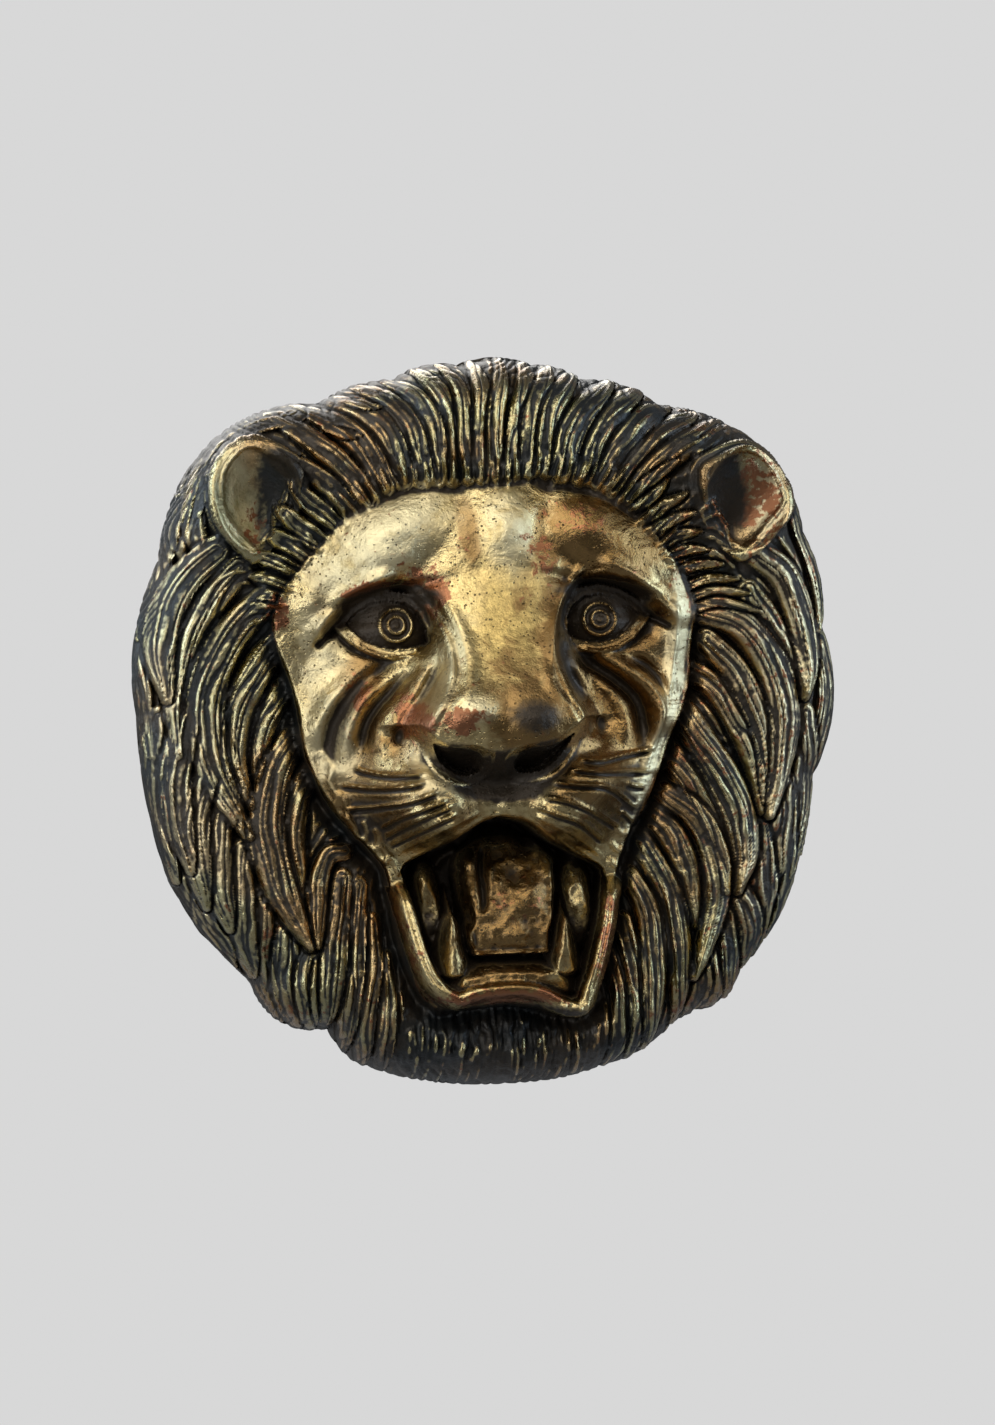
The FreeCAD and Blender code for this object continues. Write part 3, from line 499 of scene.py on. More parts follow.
def bridge_surface():
    """The long bridge of the nose down to its edge."""
    level = curve_through([(-14, 62), (-8, 70.4), (-3, 72.6), (2, 72.7), (7, 70.8), (12, 67), (18, 62),
                           (27, 55.8), (36, 51.5), (46, 48.8), (56, 45), (66, 38)], np.maximum(Z, EDGE))
    half = curve_through([(-6, 19), (0, 17.6), (4, 15.4), (8, 12.6), (13, 11.2), (20, 11.6), (28, 14),
                          (38, 21), (44, 30)], Z)
    middle = curve_through([(-6, 0.8), (0, 1.2), (20, 2.3), (40, 1.5)], Z)
    out = X - middle
    slope = np.where(out < 0, 1.15, 1.7)
    side = np.maximum(0.0, np.abs(out) - half)
    under = np.maximum(0.0, EDGE - Z)
    h = level - slope * side - 0.010 * out ** 2 - 2.1 * under
    h += 1.3 * np.exp(-((np.abs(out) - half + 1.2) / 2.0) ** 2) * ramp((Z - 2) / 10) * ramp((40 - Z) / 12)
    return h


def muzzle_surface():
    """The two pads that carry the whiskers."""
    low = 29 + 5 * ramp((Z + 34) / 12)
    h = low + 27 * np.exp(-1.0 * oval(0.5, -11, 36, 23) ** 1.7)
    left = 36 + 28 * np.exp(-0.95 * oval(-17, -18.5, 18, 12.5, -28) ** 1.4)
    right = 36 + 28 * np.exp(-0.95 * oval(18, -18.5, 18, 12.5, 28) ** 1.4)
    pads = np.maximum(left, right) - 4.5 * bump(-1.5, -15.5, 8, 5)
    return soft_max(pads, h - 5.0 * bump(-1, -14.5, 11, 5), 3)


def jaw_surface():
    return 27 + 22 * dome(1.5, -56, 32, 25, flat=3.4)


def carve_eye(h, lids, cx, cz, ix, iz, side):
    """Socket, ball, lids and the rings of the iris."""
    h -= 7.5 * np.exp(-oval(cx + side * 0.5, cz + 1.6, 13.8, 8.6, -7 * side) ** 2.4)
    h -= 3.4 * np.exp(-oval(cx + side * 1.0, cz + 8.4, 13.5, 2.0, -12 * side) ** 1.5)
    depth = region_depth(np.array(lids), 12)
    r2 = (X - cx) ** 2 + (Z - cz) ** 2
    ball = 43.6 - 0.046 * r2 - 0.10 * side * (X - cx) + 0.03 * (Z - cz)
    margin = 43.4 - 0.024 * r2 - 0.20 * side * (X - cx)
    upper = ramp((Z - cz + 1) / 3.0)
    thick = 1.3
    lid = margin + 0.5 - 2.0 * upper - 0.9 * ((depth + thick / 2) / (thick / 2)) ** 2
    near_lid = (depth <= 0) & (depth > -thick - 0.6)
    h[:] = np.where(near_lid, np.maximum(h, lid), h)
    inner = ramp(depth / 0.9)
    h[:] = np.where(depth > 0, (margin - 0.4) * (1 - inner) + (ball - 1.8 - 1.0 * upper) * inner, h)
    ring(h, ix, iz, 4.3, 0.5, 1.0)
    ring(h, ix, iz, 2.2, 0.42, 0.8)
    w = window(np.array([(ix, iz)]), 4)
    r = np.hypot(X[w] - ix, Z[w] - iz)
    pupil = 0.55 * np.exp(-(r / 1.0) ** 4) - 0.35 * np.exp(-(r / 0.35) ** 2)
    h[w] += pupil - 0.35 * np.exp(-((r - 3.2) / 0.5) ** 2)
    return depth


# Ridges and grooves: middle line, half width, rise
FOLDS = [
    ([(-12, 20), (-14.5, 13), (-18, 5), (-22, -2), (-22, -10)], 2.3, 2.3),
    ([(-15, 20), (-22, 12.5), (-29, 4), (-31, -3), (-29.5, -11)], 2.7, 2.8),
    ([(-18, 20), (-27, 14), (-36, 6), (-40, -3), (-40, -10)], 2.8, 2.5),
    ([(-28, 17.5), (-39, 10.5), (-45.5, 3), (-48, -6)], 2.6, 1.8),
    ([(16.5, 18), (18.5, 9), (22, 2), (21.5, -7)], 2.0, 2.2),
    ([(18, 20), (25, 13.5), (32, 6), (35, -2), (34.5, -10)], 2.8, 3.0),
    ([(24, 19), (34, 14.5), (41.5, 9), (45, 2), (44.5, -8)], 3.0, 3.2),
]
GROOVES = [
    ([(-14.5, 17), (-19, 9), (-25, 0.5), (-26, -8)], 1.5, -2.6),
    ([(-17, 18), (-25, 11), (-33.5, 1), (-35.5, -9)], 1.6, -2.8),
    ([(-24, 17.5), (-34, 12), (-40.5, 4), (-43.5, -5), (-43, -12)], 2.5, -3.0),
    ([(17.5, 16), (22, 9.5), (27.5, 1.5), (28.5, -8)], 1.8, -2.8),
    ([(20, 18.5), (30, 13), (38, 6), (40, -2), (39.5, -10)], 1.9, -3.0),
    ([(34, 18), (42, 14), (46.5, 7), (47.5, -2), (46, -10)], 1.5, -2.6),
    ([(-39, 27.4), (-43, 24.6), (-47, 21)], 1.0, -2.6), ([(41.5, 28.4), (45.5, 26.6), (50, 24)], 1.0, -2.6),
    ([(-36, 30), (-40, 27), (-45, 24)], 1.6, -1.4),
]
WHISKERS = [
    [(-38, -10.2), (-33.6, -11.8), (-28, -12.6), (-20.4, -12.2)],
    [(-41, -14.8), (-35.2, -15.8), (-28, -15.9), (-20, -14.4)],
    [(-40, -21.4), (-33.6, -21), (-25.6, -19.8), (-16.8, -16.8)],
    [(-31, -27), (-26.4, -23.8), (-20, -21), (-14.6, -19.2)],
    [(-30, -29.6), (-25.6, -26.6), (-20, -23.4), (-13, -20.4)],
    [(-28.5, -31.6), (-23.2, -28.6), (-18.4, -25.8), (-12, -22.8)],
    [(20, -9.6), (26.4, -10.2), (34.4, -9), (43.5, -7.6)],
    [(17, -12), (24.8, -13), (32, -13.4), (42.6, -13.8)],
    [(12, -15.2), (18.4, -16.2), (26.4, -17), (33, -20.2), (38, -23.6)],
    [(10, -19.2), (16.8, -20.6), (24.8, -24.2), (33, -28.6)],
    [(8, -21.6), (14.4, -24.2), (20.8, -26.6), (29.4, -32.6)],
    [(34, -16.5), (37, -17.5), (40, -17.8)], [(33, -24), (36, -26), (38, -28.4)],
]
LIP_EDGES = [
    ([(-27.5, -34.2), (-20, -29.8), (-13.6, -26.4), (-8, -23.9), (-4.6, -22.6)], 0.7, 0.9),
    ([(6, -23.2), (12, -26.4), (16.8, -29.2), (25, -33.6), (29.4, -37)], 0.7, 0.9),
    ([(-25, -36.4), (-18.4, -33.4), (-12, -29.4), (-5.6, -25.2), (-1.6, -23.4)], 0.9, 0.7),
    ([(1.4, -23.4), (7, -25.4), (14, -30.2), (22, -34.8), (29, -38.8)], 0.9, 0.7),
    ([(-1.6, -19.4), (-1.7, -21.4), (-1.8, -23.6)], 1.3, -1.0),
]
WRINKLES = [
    ([(-36, -24), (-34.5, -27.5), (-35.5, -31)], 1.0, 1.4),
    ([(-33, -26), (-31.5, -30), (-33, -34)], 1.0, 1.2),
    ([(-31.5, -31), (-29, -34), (-30, -37)], 1.0, 1.4),
    ([(-39, -24), (-37.5, -29), (-39, -33)], 1.0, 1.0),
    ([(-28.5, -33.5), (-27, -37), (-25.6, -40)], 0.9, 1.2),
    ([(33, -20), (36.5, -23), (39.5, -21)], 0.8, 0.9),
    ([(31, -27), (34, -30.5), (37, -29.5)], 0.8, 0.9),
    ([(30.5, -32), (33, -35), (36, -34)], 0.8, 1.0),
    ([(30, -36.5), (32, -39), (34.6, -38.6)], 0.8, 1.0),
    ([(31, -23), (35, -26.5), (38.5, -25.5)], 0.7, 0.8),
    ([(-45, -12), (-42.5, -17), (-42.5, -22)], 1.2, 1.2),
    ([(-42, -16), (-39.5, -21), (-40, -26)], 1.1, 1.3),
    ([(-40, -23), (-37, -27), (-37.5, -31.5)], 1.0, 1.2),
    ([(-46, -5), (-43.5, -10), (-43.8, -14)], 1.2, 0.9),
]
BRIDGE_AND_BROWS = [
    ([(-25, 41), (-20.5, 36), (-16.5, 30), (-13, 22), (-12.5, 14), (-15, 7), (-18.5, 1), (-20, -5)],
     1.4, 2.7),
    ([(26, 43), (21, 36), (17, 29), (14.8, 22), (15.2, 14), (18, 7), (20.8, 1), (20, -6)], 1.4, 3.2),
    ([(-15, 19), (-16.5, 12), (-19.5, 6), (-22.5, -1), (-24, -8)], 1.9, -2.4),
    ([(18.5, 24), (18.3, 15), (21.5, 8), (24.5, 1), (25, -6)], 2.0, -2.8),
    ([(-48, 22.5), (-43.5, 28.5), (-38, 34), (-31, 38), (-24, 40)], 2.3, 3.0),
    ([(53, 24), (47, 31), (40, 36.6), (33, 40.4), (27, 42.5)], 2.3, 2.6),
    ([(22.5, 36), (27, 38.6), (32, 38.8), (37, 36.6)], 0.8, 1.2),
    ([(50.5, 40), (51, 30), (50, 17), (47, 4), (43.5, -6), (40, -15), (37, -24)], 2.4, 2.4),
]
UNDER_EYES = [
    ([(-38, 24.5), (-33.5, 20.6), (-27, 18.4), (-19, 19)], 0.9, 1.2),
    ([(22, 20), (29, 18.4), (36.5, 21), (41, 25.5)], 0.9, 1.2),
]
LIP_SEAMS = [
    ([(-25.6, -43), (-23.6, -52), (-21.4, -60), (-18.6, -66.6), (-14, -70.8)], 0.4, -0.7),
    ([(29.6, -43), (28.6, -52), (26.2, -61), (23.6, -69), (22, -74)], 0.4, -0.7),
]
PALATE = [
    ([(-9.2, -45), (-9.0, -52), (-8.0, -61)], 0.9, 3.4),
    ([(-3.2, -31.5), (-4.4, -38), (-4.2, -45), (-4.6, -51)], 1.1, -2.6),
    ([(-7, -34), (-6.6, -40), (-7, -47)], 1.4, 1.2),
    ([(-1.2, -36), (-2.0, -41), (-1.6, -46)], 0.6, 0.8),
    ([(9, -33), (13, -37), (13.6, -43)], 1.6, 1.2),
    ([(-16, -39), (-14, -36), (-9, -33)], 1.4, 2.0),
]
# Beard rows: top and bottom level, left and right end, number of hairs
BEARD_ROWS = [(-74.5, -83, -20, 23, 34), (-79, -90, -25, 27, 40), (-85, -100, -30, 30, 52)]


def lay_beard(h, mouth):
    """Tufts under the lower lip and the short straight hairs along the bottom edge."""
    rng = np.random.default_rng(9)
    h = h - 4.0 * bump(2, -80.5, 23, 4.5) * ramp(-mouth / 3.0 - 1)
    for row, (z0, z1, low, high, count) in enumerate(BEARD_ROWS):
        for i in range(count):
            x = low + (high - low) * (i + rng.uniform(0.2, 0.8)) / count
            top, end = z0 + rng.uniform(-1.5, 1.5), z1 + rng.uniform(-2, 2)
            drift = rng.uniform(-1, 1) + (x - 1) * 0.03
            points = [(x, top), (x + drift * 0.4, (top + end) / 2), (x + drift, end)]
            stroke(h, points, rng.uniform(0.5, 0.85), rng.uniform(0.6, 1.5) + 0.2 * row, 0.3)
    return h


def mouth_floor():
    """Throat, tongue, front teeth and canines as they stand inside the lips."""
    h = np.full(X.shape, 24.0)
    right = curve_through([(-66, 12.6), (-60, 12.6), (-50, 13.4), (-40, 14.6), (-34, 13), (-29, 6)], Z)
    left = curve_through([(-66, -7.6), (-60, -7.0), (-50, -6.6), (-40, -8.6), (-34, -8), (-29, -4)], Z)
    level = curve_through([(-70, 20), (-62.6, 24), (-61.4, 42), (-59.5, 44.5), (-52, 44.6), (-44, 42),
                           (-36, 37), (-31, 31), (-26, 22)], Z)
    edge = np.maximum(0, np.maximum(X - right, left - X) + 0.7 * noise(5.0, 63))
    tongue = level - 3.0 * edge ** 1.3 - 0.010 * (X - 3) ** 2
    h = soft_max(h, tongue, 1.0)
    gum = 47.5 - 1.5 * np.maximum(0, np.abs(Z + 67.3 + 0.010 * (X - 2) ** 2) - 1.3) ** 1.3
    gum -= 1.6 * np.maximum(0, np.abs(X - 2) - 12.5)
    h = soft_max(h, gum, 1.0)
    for cx, cz, lean in ((-13.2, -50.4, -0.04), (16.8, -51.6, 0.02)):
        off = X - cx - lean * (Z - cz)
        half = 2.5 * np.sqrt(clamp((cz + 0.4 - Z) / 13.0))
        tooth = 47.6 - 2.6 * (off / np.maximum(half, 0.3)) ** 2
        tooth = tooth - 3.0 * np.maximum(0, Z - cz) - 3 * np.maximum(0, -66 - Z)
        h = soft_max(h, np.maximum(tooth, 20), 0.6)
    leaf_right = 37.5 - 1.4 * np.maximum(0, oval(21.4, -50, 4.0, 10, 4) - 0.4) ** 1.1 * 4
    leaf_left = 35.5 - 1.4 * np.maximum(0, oval(-17.8, -51, 3.2, 12, 8) - 0.4) ** 1.1 * 4
    h = soft_max(h, np.maximum(leaf_right, 20), 1.2)
    h = soft_max(h, np.maximum(leaf_left, 20), 1.2)
    h += 0.55 * noise(4.5, 61) + 0.2 * noise(1.7, 62)
    lay_strokes(h, PALATE)
    return h


def bevel_cheek(h, inside):
    """The outer edge of the right cheek turned away to the side."""
    start = curve_through([(-30, 35), (-24, 36.5), (-15, 39.6), (-6, 43), (4, 46.4), (17, 49.4), (30, 50.4),
                           (42, 49.5)], Z)
    slant = sample(blur(h, 1.0), start, Z) - 0.74 * (X - start) + 0.35 * noise(3.0, 71)
    share = ramp((X - start) / 1.2) * ramp((inside + 2.6) / 1.0) * ramp((Z + 30) / 6) * ramp((44 - Z) / 6)
    h += share * (slant - h)


def lay_hair(base, rim, inside):
    """The mane without the ears: body, short hairs, then the locks in order."""
    h = base - 0.8 + 0.9 * noise(9.0, 1) + 0.25 * noise(1.6, 2)
    lay_undercoat(h, rim, inside)
    for first_seed, rows in ((100, LOCKS), (300, TUFTS)):
        for i, (points, half, rise) in enumerate(rows):
            lay_lock(h, base, rim, points, half, rise, first_seed + i)
    return h


def lay_skin(h, inside):
    """The face laid over the hair roots, with a crease along the cheeks."""
    skin = soft_max(skin_surface(inside), bridge_surface(), 3)
    skin = soft_max(skin, muzzle_surface(), 5)
    skin = soft_max(skin, jaw_surface(), 4)
    crease = np.exp(-((inside + 2.4) / 2.4) ** 2) * ramp((34 - Z) / 20.0)
    h -= 4.5 * crease
    h = soft_max(h, skin - 3.0 * ramp(-inside / 1.5) - 26 * ramp(-inside / 6.0), 1.2)
    lay_roots(h)
    return h


def roughen(h, face, rim):
    """Uneven cast surface: broad on the face, fine in the hair."""
    h += face * (0.34 * noise(9.0, 41) + 0.16 * noise(4.0, 42) + 0.045 * noise(1.5, 43))
    h += (1 - face) * (0.04 * noise(0.8, 31) + 0.10 * noise(1.6, 32)) * ramp(rim / 3)


def shape_nose(h):
    """Nostrils with their raised edges, and the pad between them."""
    nostril = np.zeros(X.shape)
    for hole in (LEFT_NOSTRIL, RIGHT_NOSTRIL):
        depth = region_depth(closed_line(hole, 4), 6)
        h -= 6.0 * ramp(depth / 1.6)
        nostril = np.maximum(nostril, np.exp(-((depth + 0.6) / 0.5) ** 2) * (Z < EDGE - 0.6))
    h += 0.9 * nostril
    h += 2.2 * bump(7.6, 1.4, 5.2, 4.4) - 1.0 * bump(0.2, 2, 2.6, 6)
    h += 1.8 * bump(-8.5, 3.4, 5, 4.4)
    return nostril


def shape_mouth(h, mouth):
    """Lips round the open mouth, and what stands inside it."""
    lip = curve_through([(-78, 50.5), (-66, 50), (-50, 46), (-41, 43.5), (-34, 46), (-24, 50)], Z)
    lip = lip - 1.1 * np.maximum(0, np.abs(-mouth - 1.3) - 0.5) ** 1.6
    lip = lip - 12 * ramp((Z + 47) / 10.0)
    h = np.where((mouth < 0.4) & (mouth > -5) & (Z < -36), soft_max(h, lip, 1.0), h)
    lay_strokes(h, LIP_SEAMS)
    cut = ramp(mouth / 1.3)
    return h * (1 - cut) + np.minimum(h, mouth_floor()) * cut


def build_head():
    """Height of every raster point above the back plane, with the masks the metal needs."""
    rim = region_depth(outline_points(8))
    inside = region_depth(closed_line(FACE))
    mouth = region_depth(closed_line(MOUTH))
    base = mane_base(rim)
    h = lay_hair(base, rim, inside)
    inside = inside + 0.3 * noise(4.0, 12) * ramp((Z - 40) / 10)
    h = lay_skin(h, inside)
    face = ramp((inside + 1.0) / 1.6)
    roughen(h, face, rim)
    lay_strokes(h, FOLDS + GROOVES, 0.22)
    eye = np.zeros(X.shape)
    for lids in EYES:
        eye = np.maximum(eye, ramp(carve_eye(h, *lids) / 0.8))
    lay_strokes(h, BRIDGE_AND_BROWS)
    bevel_cheek(h, inside)
    lay_strokes(h, UNDER_EYES)
    nostril = shape_nose(h)
    for points in WHISKERS:                  # each ridge has a groove below it
        stroke(h, points, 0.52, 1.6, 0.12)
        stroke(h, [(px, pz - 1.0) for px, pz in points], 0.6, -1.1, 0.12)
    lay_strokes(h, LIP_EDGES + WRINKLES, 0.2)
    h = lay_beard(shape_mouth(h, mouth), mouth)
    h, ear = add_ears(h, base)
    return h, {"mouth": mouth, "face": face, "ear": ear, "eye": eye, "nostril": nostril}


# Each ear: outline of its rim, then centre, radii and turn of the cup
EARS = [
    ([(-62, 45), (-67, 49.5), (-71.5, 56), (-72.5, 63), (-71.3, 70), (-66.5, 76), (-61, 77.6), (-55, 74.6),
      (-49.5, 70.5), (-47.5, 67), (-50, 59), (-56, 50)], (-61, 61.5, 11.8, 16.4, 12)),
    ([(69, 42.5), (74, 45.5), (78.8, 50.5), (83, 56), (83, 61), (80.5, 67), (76, 72), (70, 73.6), (62, 71),
      (56, 66.5), (57, 58), (63, 47.5)], (70.5, 57.5, 12.6, 15.4, -22)),
]


def add_ears(h, base):
    """Cupped ears with a rolled rim, and tufts over their inner side."""
    ear_mask = np.zeros(X.shape)
    for rim_line, (cx, cz, rx, rz, turn) in EARS:
        depth = region_depth(closed_line(rim_line), 14)
        out = (X - cx) * np.sign(cx) / rx
        top = base + 8.5 + 4.0 * out + 2.0 * (Z - cz) / rz
        cup = top - 14 * clamp(1 - oval(cx, cz, rx, rz, turn)) ** 0.62
        ear = soft_min(cup, top - 5.0 * np.maximum(0.0, 0.9 - depth), 1.2)
        ear = ear + 1.1 * np.exp(-((depth - 1.9) / 0.8) ** 2)
        tufts = np.where(out < -0.35, h - 0.5 - 10 * ramp((depth - 3) / 4), FAR_BELOW)
        ear = soft_max(ear, tufts, 0.6)
        h = np.where(depth > 1.2, ear, np.where(depth > -5, soft_max(h, ear, 0.6), h))
        ear_mask = np.maximum(ear_mask, ramp((depth + 0.5) / 1.0) * (ear > tufts + 0.3))
    return h, ear_mask


# ---------- meshes ----------
DETAIL = 250          # rings of the head's front surface
COARSE = DETAIL // 5                         # rings of the surface inside the hollow
MEAN_RADIUS = 98.0
RIM_WIDTH = 7.5
WALL = 5.0
FLANK_RINGS = (0.90, 0.79, 0.68, 0.57, 0.46, 0.35, 0.24, 0.13, 0.04, 0.0)    # shares of the rim's height


def new_mesh(name, points, faces, material, smooth=True):
    """Object from points in millimetres."""
    mesh = bpy.data.meshes.new(name)
    mesh.from_pydata((np.asarray(points) * 0.001).tolist(), [], faces)
    mesh.validate()
    mesh.materials.append(material)
    mesh.polygons.foreach_set("use_smooth", [smooth] * len(mesh.polygons))
    piece = bpy.data.objects.new(name, mesh)
    bpy.context.scene.collection.objects.link(piece)
    return piece


def read_field(field, x, z):
    """Value of a raster between its points."""
    c = np.clip((x + REACH) / STEP - 0.5, 0, COUNT - 1.001)
    r = np.clip((REACH - z) / STEP - 0.5, 0, COUNT - 1.001)
    c0 = c.astype(int)
    r0 = r.astype(int)
    fc = c - c0
    fr = r - r0
    top = field[r0, c0] * (1 - fc) + field[r0, c0 + 1] * fc
    low = field[r0 + 1, c0] * (1 - fc) + field[r0 + 1, c0 + 1] * fc
    return top * (1 - fr) + low * fr


def radius_at(angle, inset, smooth):
    """Radius of the outline at an angle, with or without its small scallops."""
    points = outline_points(1 if smooth else 16)
    turns = np.arctan2(points[:, 1], points[:, 0])
    return np.interp(angle, turns, np.hypot(points[:, 0], points[:, 1]) - inset, period=2 * math.pi)


def disc_grid(rings, inset=0.0, smooth=False):
    """Square grid wrapped onto the outline: x and z of each point."""
    line = np.arange(-rings, rings + 1)
    u, v = np.meshgrid(line, line)
    out = np.maximum(np.abs(u), np.abs(v)) / rings
    wide = np.abs(u) >= np.abs(v)
    safe_u = np.where(u == 0, 1, u)
    safe_v = np.where(v == 0, 1, v)
    angle = np.where(wide, math.pi / 4 * v / safe_u + np.where(u < 0, math.pi, 0),
                     math.pi / 2 - math.pi / 4 * u / safe_v + np.where(v < 0, math.pi, 0))
    out = np.where(out < 0.85, 1.075 * out, 1 - 0.575 * (1 - out))
    share = out ** 5
    edge = radius_at(angle, inset, smooth)
    radius = out * ((MEAN_RADIUS - inset) * (1 - share) + edge * share)
    return radius * np.cos(angle), radius * np.sin(angle)


def grid_faces(rings, first, flip=False):
    """Quads of a square grid whose points start at the given index."""
    count = 2 * rings + 1
    r, c = np.meshgrid(np.arange(count - 1), np.arange(count - 1), indexing="ij")
    a = first + r * count + c
    quads = np.stack([a, a + 1, a + count + 1, a + count], axis=-1).reshape(-1, 4)
    return (quads[:, ::-1] if flip else quads).tolist()


def grid_edge(rings, first):
    """Points round the edge of the grid, anticlockwise as seen from the front."""
    last = 2 * rings
    count = last + 1
    side = np.arange(last)
    loop = np.concatenate([side * count + last, last * count + last - side, (last - side) * count, side])
    return first + loop


def shell_depth(h):
    """Level of the hollow behind the front surface."""
    thin = h.copy()
    reach = int(round(3.0 / STEP))
    for shift in (reach, reach // 2):
        for axis in (0, 1):
            thin = np.minimum(thin, np.minimum(np.roll(thin, shift, axis), np.roll(thin, -shift, axis)))
    return np.maximum(blur(thin, 1.5) - WALL, 1.0)


def flank_hair(x, z, level):
    """Crests of the hair on the flank: along the sides, and down over the top and bottom edge."""
    angle = np.arctan2(z, x)
    drift = read_field(noise(16.0, 51), x, z)
    sides = ramp((np.abs(np.cos(angle)) - 0.60) / 0.20)
    along = np.abs(np.sin(math.pi * (level / 4.0 + 1.7 * drift + 6.0 * angle)))
    down = np.abs(np.sin(84.0 * angle + 4.5 * drift + 1.5 * read_field(noise(5.0, 52), x, z)))
    return sides * along ** 0.7 + (1 - sides) * down ** 0.7 - 0.6


def flank_share(h, x, z):
    """1 on the steep flank of the mane, 0 on its face."""
    soft = blur(h, 2.0)
    rows, columns = np.gradient(soft, STEP)
    return ramp((read_field(np.hypot(rows, columns), x, z) - 1.3) / 1.4) * ramp((np.hypot(x, z) - 80) / 6)


def flank_rings(front, edge, x, z):
    """Rings of points from the edge of the front surface down to the back plane."""
    rim_level = -front[edge, 1]
    plain_x = x.ravel()[edge]
    plain_z = z.ravel()[edge]
    rings = []
    for share in FLANK_RINGS:
        ring_points = front[edge].copy()
        length = np.hypot(ring_points[:, 0], ring_points[:, 2])
        inset = 0.1 - 0.45 * flank_hair(plain_x, plain_z, rim_level * share) * ramp((share - 0.02) * 5)
        inset = np.where(share == 0, 0.6, inset)
        ring_points[:, 0] *= 1 - inset / length
        ring_points[:, 2] *= 1 - inset / length
        ring_points[:, 1] = -rim_level * share
        rings.append(ring_points)
    return rings


def build_casting(h, material):
    """Front surface, flank, flat rim and hollow of the casting, joined into one closed mesh."""
    x, z = disc_grid(DETAIL)
    level = read_field(h, x, z)
    swell = 0.6 * flank_hair(x, z, level) * flank_share(h, x, z) / np.maximum(np.hypot(x, z), 1.0)
    x, z = x * (1 + swell), z * (1 + swell)
    front = np.stack([x.ravel(), -level.ravel(), z.ravel()], axis=1)
    faces = grid_faces(DETAIL, 0)
    edge = grid_edge(DETAIL, 0)
    points = [front]
    count = len(front)
    previous = edge
    total = len(edge)
    for ring_points in flank_rings(front, edge, x, z):
        points.append(ring_points)
        below = count + np.arange(total)
        faces += np.stack([previous, below, np.roll(below, -1), np.roll(previous, -1)], axis=1).tolist()
        previous = below
        count += total
    # the flat rim behind, then the wall and floor of the hollow
    hx, hz = disc_grid(COARSE, RIM_WIDTH, True)
    inner = grid_edge(COARSE, 0)
    points.append(np.stack([hx.ravel()[inner], np.zeros(len(inner)), hz.ravel()[inner]], axis=1))
    lip_ring = count + np.arange(len(inner))
    count += len(inner)
    ratio = total // len(inner)
    for k in range(len(inner)):
        outer = [int(previous[(k * ratio + j) % total]) for j in range(ratio + 1)]
        faces.append([int(lip_ring[k]), int(lip_ring[(k + 1) % len(inner)])] + outer[::-1])
    hollow = read_field(shell_depth(h), hx, hz)
    points.append(np.stack([hx.ravel() * 0.994, -hollow.ravel(), hz.ravel() * 0.994], axis=1))
    floor_ring = grid_edge(COARSE, count)
    faces += grid_faces(COARSE, count, True)
    wall = [floor_ring, np.roll(floor_ring, -1), np.roll(lip_ring, -1), lip_ring]
    faces += np.stack(wall, axis=1).tolist()
    return new_mesh("lion_head_casting", np.vstack(points), faces, material)


def circle(x, z, y, radius, segments):
    """Points round a stud's axis at level y. The radius is a function of the turn."""
    points = []
    for k in range(segments):
        turn = 2 * math.pi * k / segments
        points.append((x + radius(turn) * math.cos(turn), y, z + radius(turn) * math.sin(turn)))
    return points


def lathe(name, profile, x, z, material, segments):
    """Closed solid of revolution about a stud's axis. The profile is (radius, y) pairs."""
    points = []
    rings = []
    for radius, y in profile:
        if radius == 0:
            rings.append([len(points)] * segments)
            points.append((x, y, z))
            continue
        rings.append(list(range(len(points), len(points) + segments)))
        points += circle(x, z, y, lambda turn: radius, segments)
    faces = []
    for a, b in zip(rings, rings[1:] + rings[:1]):
        for k in range(segments):
            j = (k + 1) % segments
            corners = [a[k], b[k], b[j], a[j]]
            distinct = [c for i, c in enumerate(corners) if c != corners[i - 1]]
            if len(distinct) > 2 and len(set(distinct)) == len(distinct):
                faces.append(distinct)
    return new_mesh(name, points, faces, material)


def ring_solid(name, start, rings, end, material):
    """Closed solid from rings of points, with one point that closes each end."""
    segments = len(rings[0])
    points = [start] + [point for ring_of_points in rings for point in ring_of_points] + [end]
    last = len(points) - 1
    top = last - segments
    faces = []
    for k in range(segments):
        j = (k + 1) % segments
        faces.append((0, 1 + k, 1 + j))
        faces.append((last, top + j, top + k))
        for a in range(1, top, segments):
            b = a + segments
            faces.append((a + k, b + k, b + j, a + j))
    return new_mesh(name, points, faces, material)


# ---------- lugs and fixings behind the mask (millimetres, y runs into the door) ----------
STUD_X = 58.0
STUD_Z = 48.0
SPOTS = {
    "top_left": (-STUD_X, STUD_Z), "top_right": (STUD_X, STUD_Z),
    "bottom_left": (-STUD_X, -STUD_Z), "bottom_right": (STUD_X, -STUD_Z),
}
DOOR = 44.0                                  # thickness of the door
STUD_START = -15.0
STUD_TIP = 58.5
PITCH = 1.25
THREAD_TOP = 3.92
THREAD_ROOT = 3.28
SHANK = 4.0
STUD_SEGMENTS = 40
RINGS_PER_PITCH = 8
LUG_RADIUS = 8.9
LUG_FOOT = [(11.5, -2.0), (11.0, 0.3), (9.8, 1.6), (9.2, 3.3), (9.0, 5.0)]    # radius, and level off the root
LUG_END = -0.05
LUG_HOLE = 3.6
LUG_HOLE_END = -15.3
WASHER_BORE = 4.2
WASHER_RADIUS = 12.0
WASHER_BACK = 46.0
WASHER_EDGE = 0.3
SPRING_BACK = 48.0
SPRING_MIDDLE = 5.75                         # radius of the middle of the wire
SPRING_HALF = 1.65
SPRING_CORNER = 0.25
SPRING_GAP = 8                               # half the cut, in degrees
SPRING_SLANT = 25
NUT_SEGMENTS = 96
NUT_FLAT = 6.5                               # half the width over the flats
